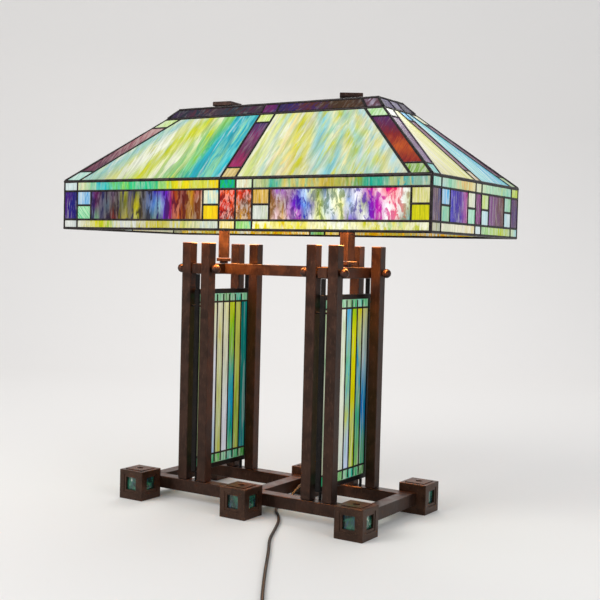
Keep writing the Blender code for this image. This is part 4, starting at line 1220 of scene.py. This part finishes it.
def make_plug():
    """A moulded two-blade plug: a tapered body with finger ridges, a collar and two brass blades."""
    low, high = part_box("mains_plug")
    x = (low.x + high.x) / 2
    sections = (
        (0.0000, 0.0032, 0.0032), (0.0004, 0.0040, 0.0040), (0.0060, 0.0044, 0.0044),
        (0.0068, 0.0062, 0.0052), (0.0095, 0.0080, 0.0062), (0.0130, 0.0086, 0.0068),
        (0.0150, 0.0081, 0.0064), (0.0170, 0.0086, 0.0068), (0.0190, 0.0081, 0.0064),
        (0.0210, 0.0087, 0.0069), (0.0245, 0.0088, 0.0070), (0.0257, 0.0084, 0.0066),
        (0.0260, 0.0078, 0.0060),
    )  # along, half width, half height
    steps = 32
    points, faces = [], []
    for along, half_w, half_h in sections:
        for i in range(steps):
            angle = 2 * math.pi * i / steps
            c, s = math.cos(angle), math.sin(angle)
            round_off = (abs(c) ** SQUARENESS + abs(s) ** SQUARENESS) ** (-1 / SQUARENESS)
            points.append((x + half_w * c * round_off, low.y + along, PLUG_Z + half_h * s * round_off))
    for k in range(len(sections) - 1):
        for i in range(steps):
            j = (i + 1) % steps
            a, b = k * steps + i, k * steps + j
            faces.append((a, a + steps, b + steps, b))
    faces.append(tuple(range(steps)))
    last = (len(sections) - 1) * steps
    faces.append(tuple(range(last + steps - 1, last - 1, -1)))
    plug = add_mesh("plug_body", points, faces, "stand", PLUG_BLACK, smooth=True)
    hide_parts("mains_plug")

    points, faces = [], []
    outline = (
        (0.0255, -0.0031), (0.0408, -0.0031), (0.0420, -0.0018),
        (0.0420, 0.0018), (0.0408, 0.0031), (0.0255, 0.0031),
    )
    for side in (-1, 1):
        first = len(points)
        for across in (-0.0007, 0.0007):
            for along, up in outline:
                points.append((x + side * BLADE_X + across, low.y + along, PLUG_Z + up))
        size = len(outline)
        faces.append(tuple(first + i for i in range(size - 1, -1, -1)))
        faces.append(tuple(first + size + i for i in range(size)))
        for i in range(size):
            j = (i + 1) % size
            faces.append((first + i, first + j, first + size + j, first + size + i))
    blades = add_mesh("plug_blades", points, faces, "stand", BLADE_BRASS)
    return plug, blades


def make_tie():
    """A soft strap round the bundle, with rounded corners."""
    low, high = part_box("cord_tie")
    middle = (low + high) / 2
    half_y, half_z = (high.y - low.y) / 2, (high.z - low.z) / 2
    half_x = (high.x - low.x) / 2
    thick, corner, steps = 0.0009, 0.0030, 6
    inner = corner - thick
    path = []
    for k, (sy, sz) in enumerate(((1, 1), (-1, 1), (-1, -1), (1, -1))):
        for i in range(steps + 1):
            angle = math.pi / 2 * (k + i / steps)
            path.append((math.cos(angle), math.sin(angle), sy, sz))
    points, faces = [], []
    for c, s, sy, sz in path:
        cy, cz = sy * (half_y - corner), sz * (half_z - corner)
        for x, r in ((-half_x, corner), (half_x, corner), (half_x, inner), (-half_x, inner)):
            points.append(Vector((middle.x + x, middle.y + cy + r * c, middle.z + cz + r * s)))
    count = len(path)
    for k in range(count):
        after = (k + 1) % count
        for i in range(4):
            j = (i + 1) % 4
            faces.append((4 * k + i, 4 * after + i, 4 * after + j, 4 * k + j))
    tie = add_mesh("cord_strap", points, faces, "stand", PLUG_BLACK, smooth=True)
    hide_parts("cord_tie")
    return tie


def make_cord():
    """The cord with its coil, and the plug, the strap and the strain relief that go with it."""
    plug, blades = make_plug()
    tie = make_tie()
    plug_low, plug_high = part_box("mains_plug")
    entry = Vector(((plug_low.x + plug_high.x) / 2, plug_low.y, PLUG_Z))
    turns = coil_points()
    # The route's last point gives way to one that leads into the first turn.
    route = smooth([*CORD_ROUTE[:-1], Vector((0.2745, -0.4385, 0.0025)), turns[0]], 0.005)[:-1]
    # The last turn ends in a short tail to the plug.
    tail = [turns[-1] + Vector((-0.0006, 0.010, -0.0004)), entry + Vector((0, -0.006, 0.0004)), entry]
    points = [*route, *turns, *smooth([turns[-1], *tail], 0.004)[1:]]
    cord = make_tube("mains_cord", points, CORD_D / 2)
    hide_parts("cord", "cord_coil")
    sleeve = smooth(CORD_ROUTE[:4], 0.0025)[:11]
    make_tube("strain_relief", sleeve, RELIEF_R, 5,
              lambda share: 1.0 - 0.42 * share + 0.05 * math.cos(share * math.pi * 10))


FOOT_GLASS = foot_glass_material()
paint_nodes()
make_cord()
make_shade()
panel_panes = [make_panel("left", -PANEL_X, LEFT_PANEL), make_panel("right", PANEL_X, RIGHT_PANEL)]
make_bolts()
make_bulbs()


# ---- floor, backdrop and light -------------------------------------------------------------------
def make_stage():
    mesh = bpy.data.meshes.new("floor")
    reach, back = 4.0, 2.6
    profile = [(-reach, 0.0), (back - 1.0, 0.0)]
    for i in range(1, 13):
        angle = math.pi / 2 * i / 12
        profile.append((back - 1.0 + math.sin(angle), 1.0 - math.cos(angle)))
    profile.append((back, 3.6))
    ahead = Vector((-math.sin(CAMERA_AZIMUTH), math.cos(CAMERA_AZIMUTH), 0))
    across = Vector((ahead.y, -ahead.x, 0))
    points = [ahead * d + across * s + UP * z for d, z in profile for s in (-reach, reach)]
    faces = [(2 * i, 2 * i + 1, 2 * i + 3, 2 * i + 2) for i in range(len(profile) - 1)]
    mesh.from_pydata([tuple(p) for p in points], [], faces)
    mesh.shade_smooth()
    made = Shader("studio_paper", roughness=0.9)
    made.feed("Base Color", srgb(238, 235, 232))
    mesh.materials.append(made.material)
    floor = bpy.data.objects.new("floor", mesh)
    bpy.context.scene.collection.objects.link(floor)
    return floor


def area_light(name, place, aim, size, watts, color, spread_deg=180):
    data = bpy.data.lights.new(name, "AREA")
    data.energy, data.size, data.color, data.spread = watts, size, color, math.radians(spread_deg)
    light = bpy.data.objects.new(name, data)
    light.location = place
    light.rotation_euler = (Vector(aim) - Vector(place)).to_track_quat("-Z", "Y").to_euler()
    bpy.context.scene.collection.objects.link(light)
    return light


def make_lights():
    world = bpy.data.worlds.new("studio")
    world.use_nodes = True
    world.node_tree.nodes["Background"].inputs["Color"].default_value = (0.93, 0.96, 1.0, 1)
    world.node_tree.nodes["Background"].inputs["Strength"].default_value = 0.66
    bpy.context.scene.world = world
    middle = (0, 0, 0.35)
    area_light("key", (-0.9, -1.9, 1.7), middle, 1.4, 30, (1.0, 0.98, 0.95))
    area_light("fill", (2.2, -0.6, 1.1), middle, 1.6, 13, (0.93, 0.96, 1.0))
    area_light("back", (-0.8, 1.7, 1.9), middle, 1.2, 12, (1.0, 0.98, 0.96))


LAMPLIGHT_Y, LAMPLIGHT_Z = 0.060, 0.460  # beside the sockets
LAMPLIGHT_WATTS, LAMPLIGHT_COLOR = 1.20, (1.0, 0.40, 0.10)


def make_lamplight(spared_pieces):
    """The bulbs' warm light on the stems and bars: soft lights beside the sockets, aimed down and inward.

    It spares some pieces, so that the floor keeps its plain light and the panels' glass its own colours."""
    spared = bpy.data.collections.new("spared_by_lamplight")
    for piece in spared_pieces:
        spared.objects.link(piece)
    for entry in spared.collection_objects:
        entry.light_linking.link_state = "EXCLUDE"
    for name in ("left_stem", "right_stem"):
        low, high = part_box(name)
        x = (low.x + high.x) / 2
        for row in (-1, 1):
            light = area_light(f"{name}_glow_{row}", (x, LAMPLIGHT_Y * row, LAMPLIGHT_Z), (x * 0.8, 0, 0.34),
                               0.08, LAMPLIGHT_WATTS, LAMPLIGHT_COLOR, 100)
            light.light_linking.receiver_collection = spared


floor = make_stage()
make_lights()
make_lamplight([floor, *panel_panes])
bpy.context.scene.view_settings.view_transform = "Standard"
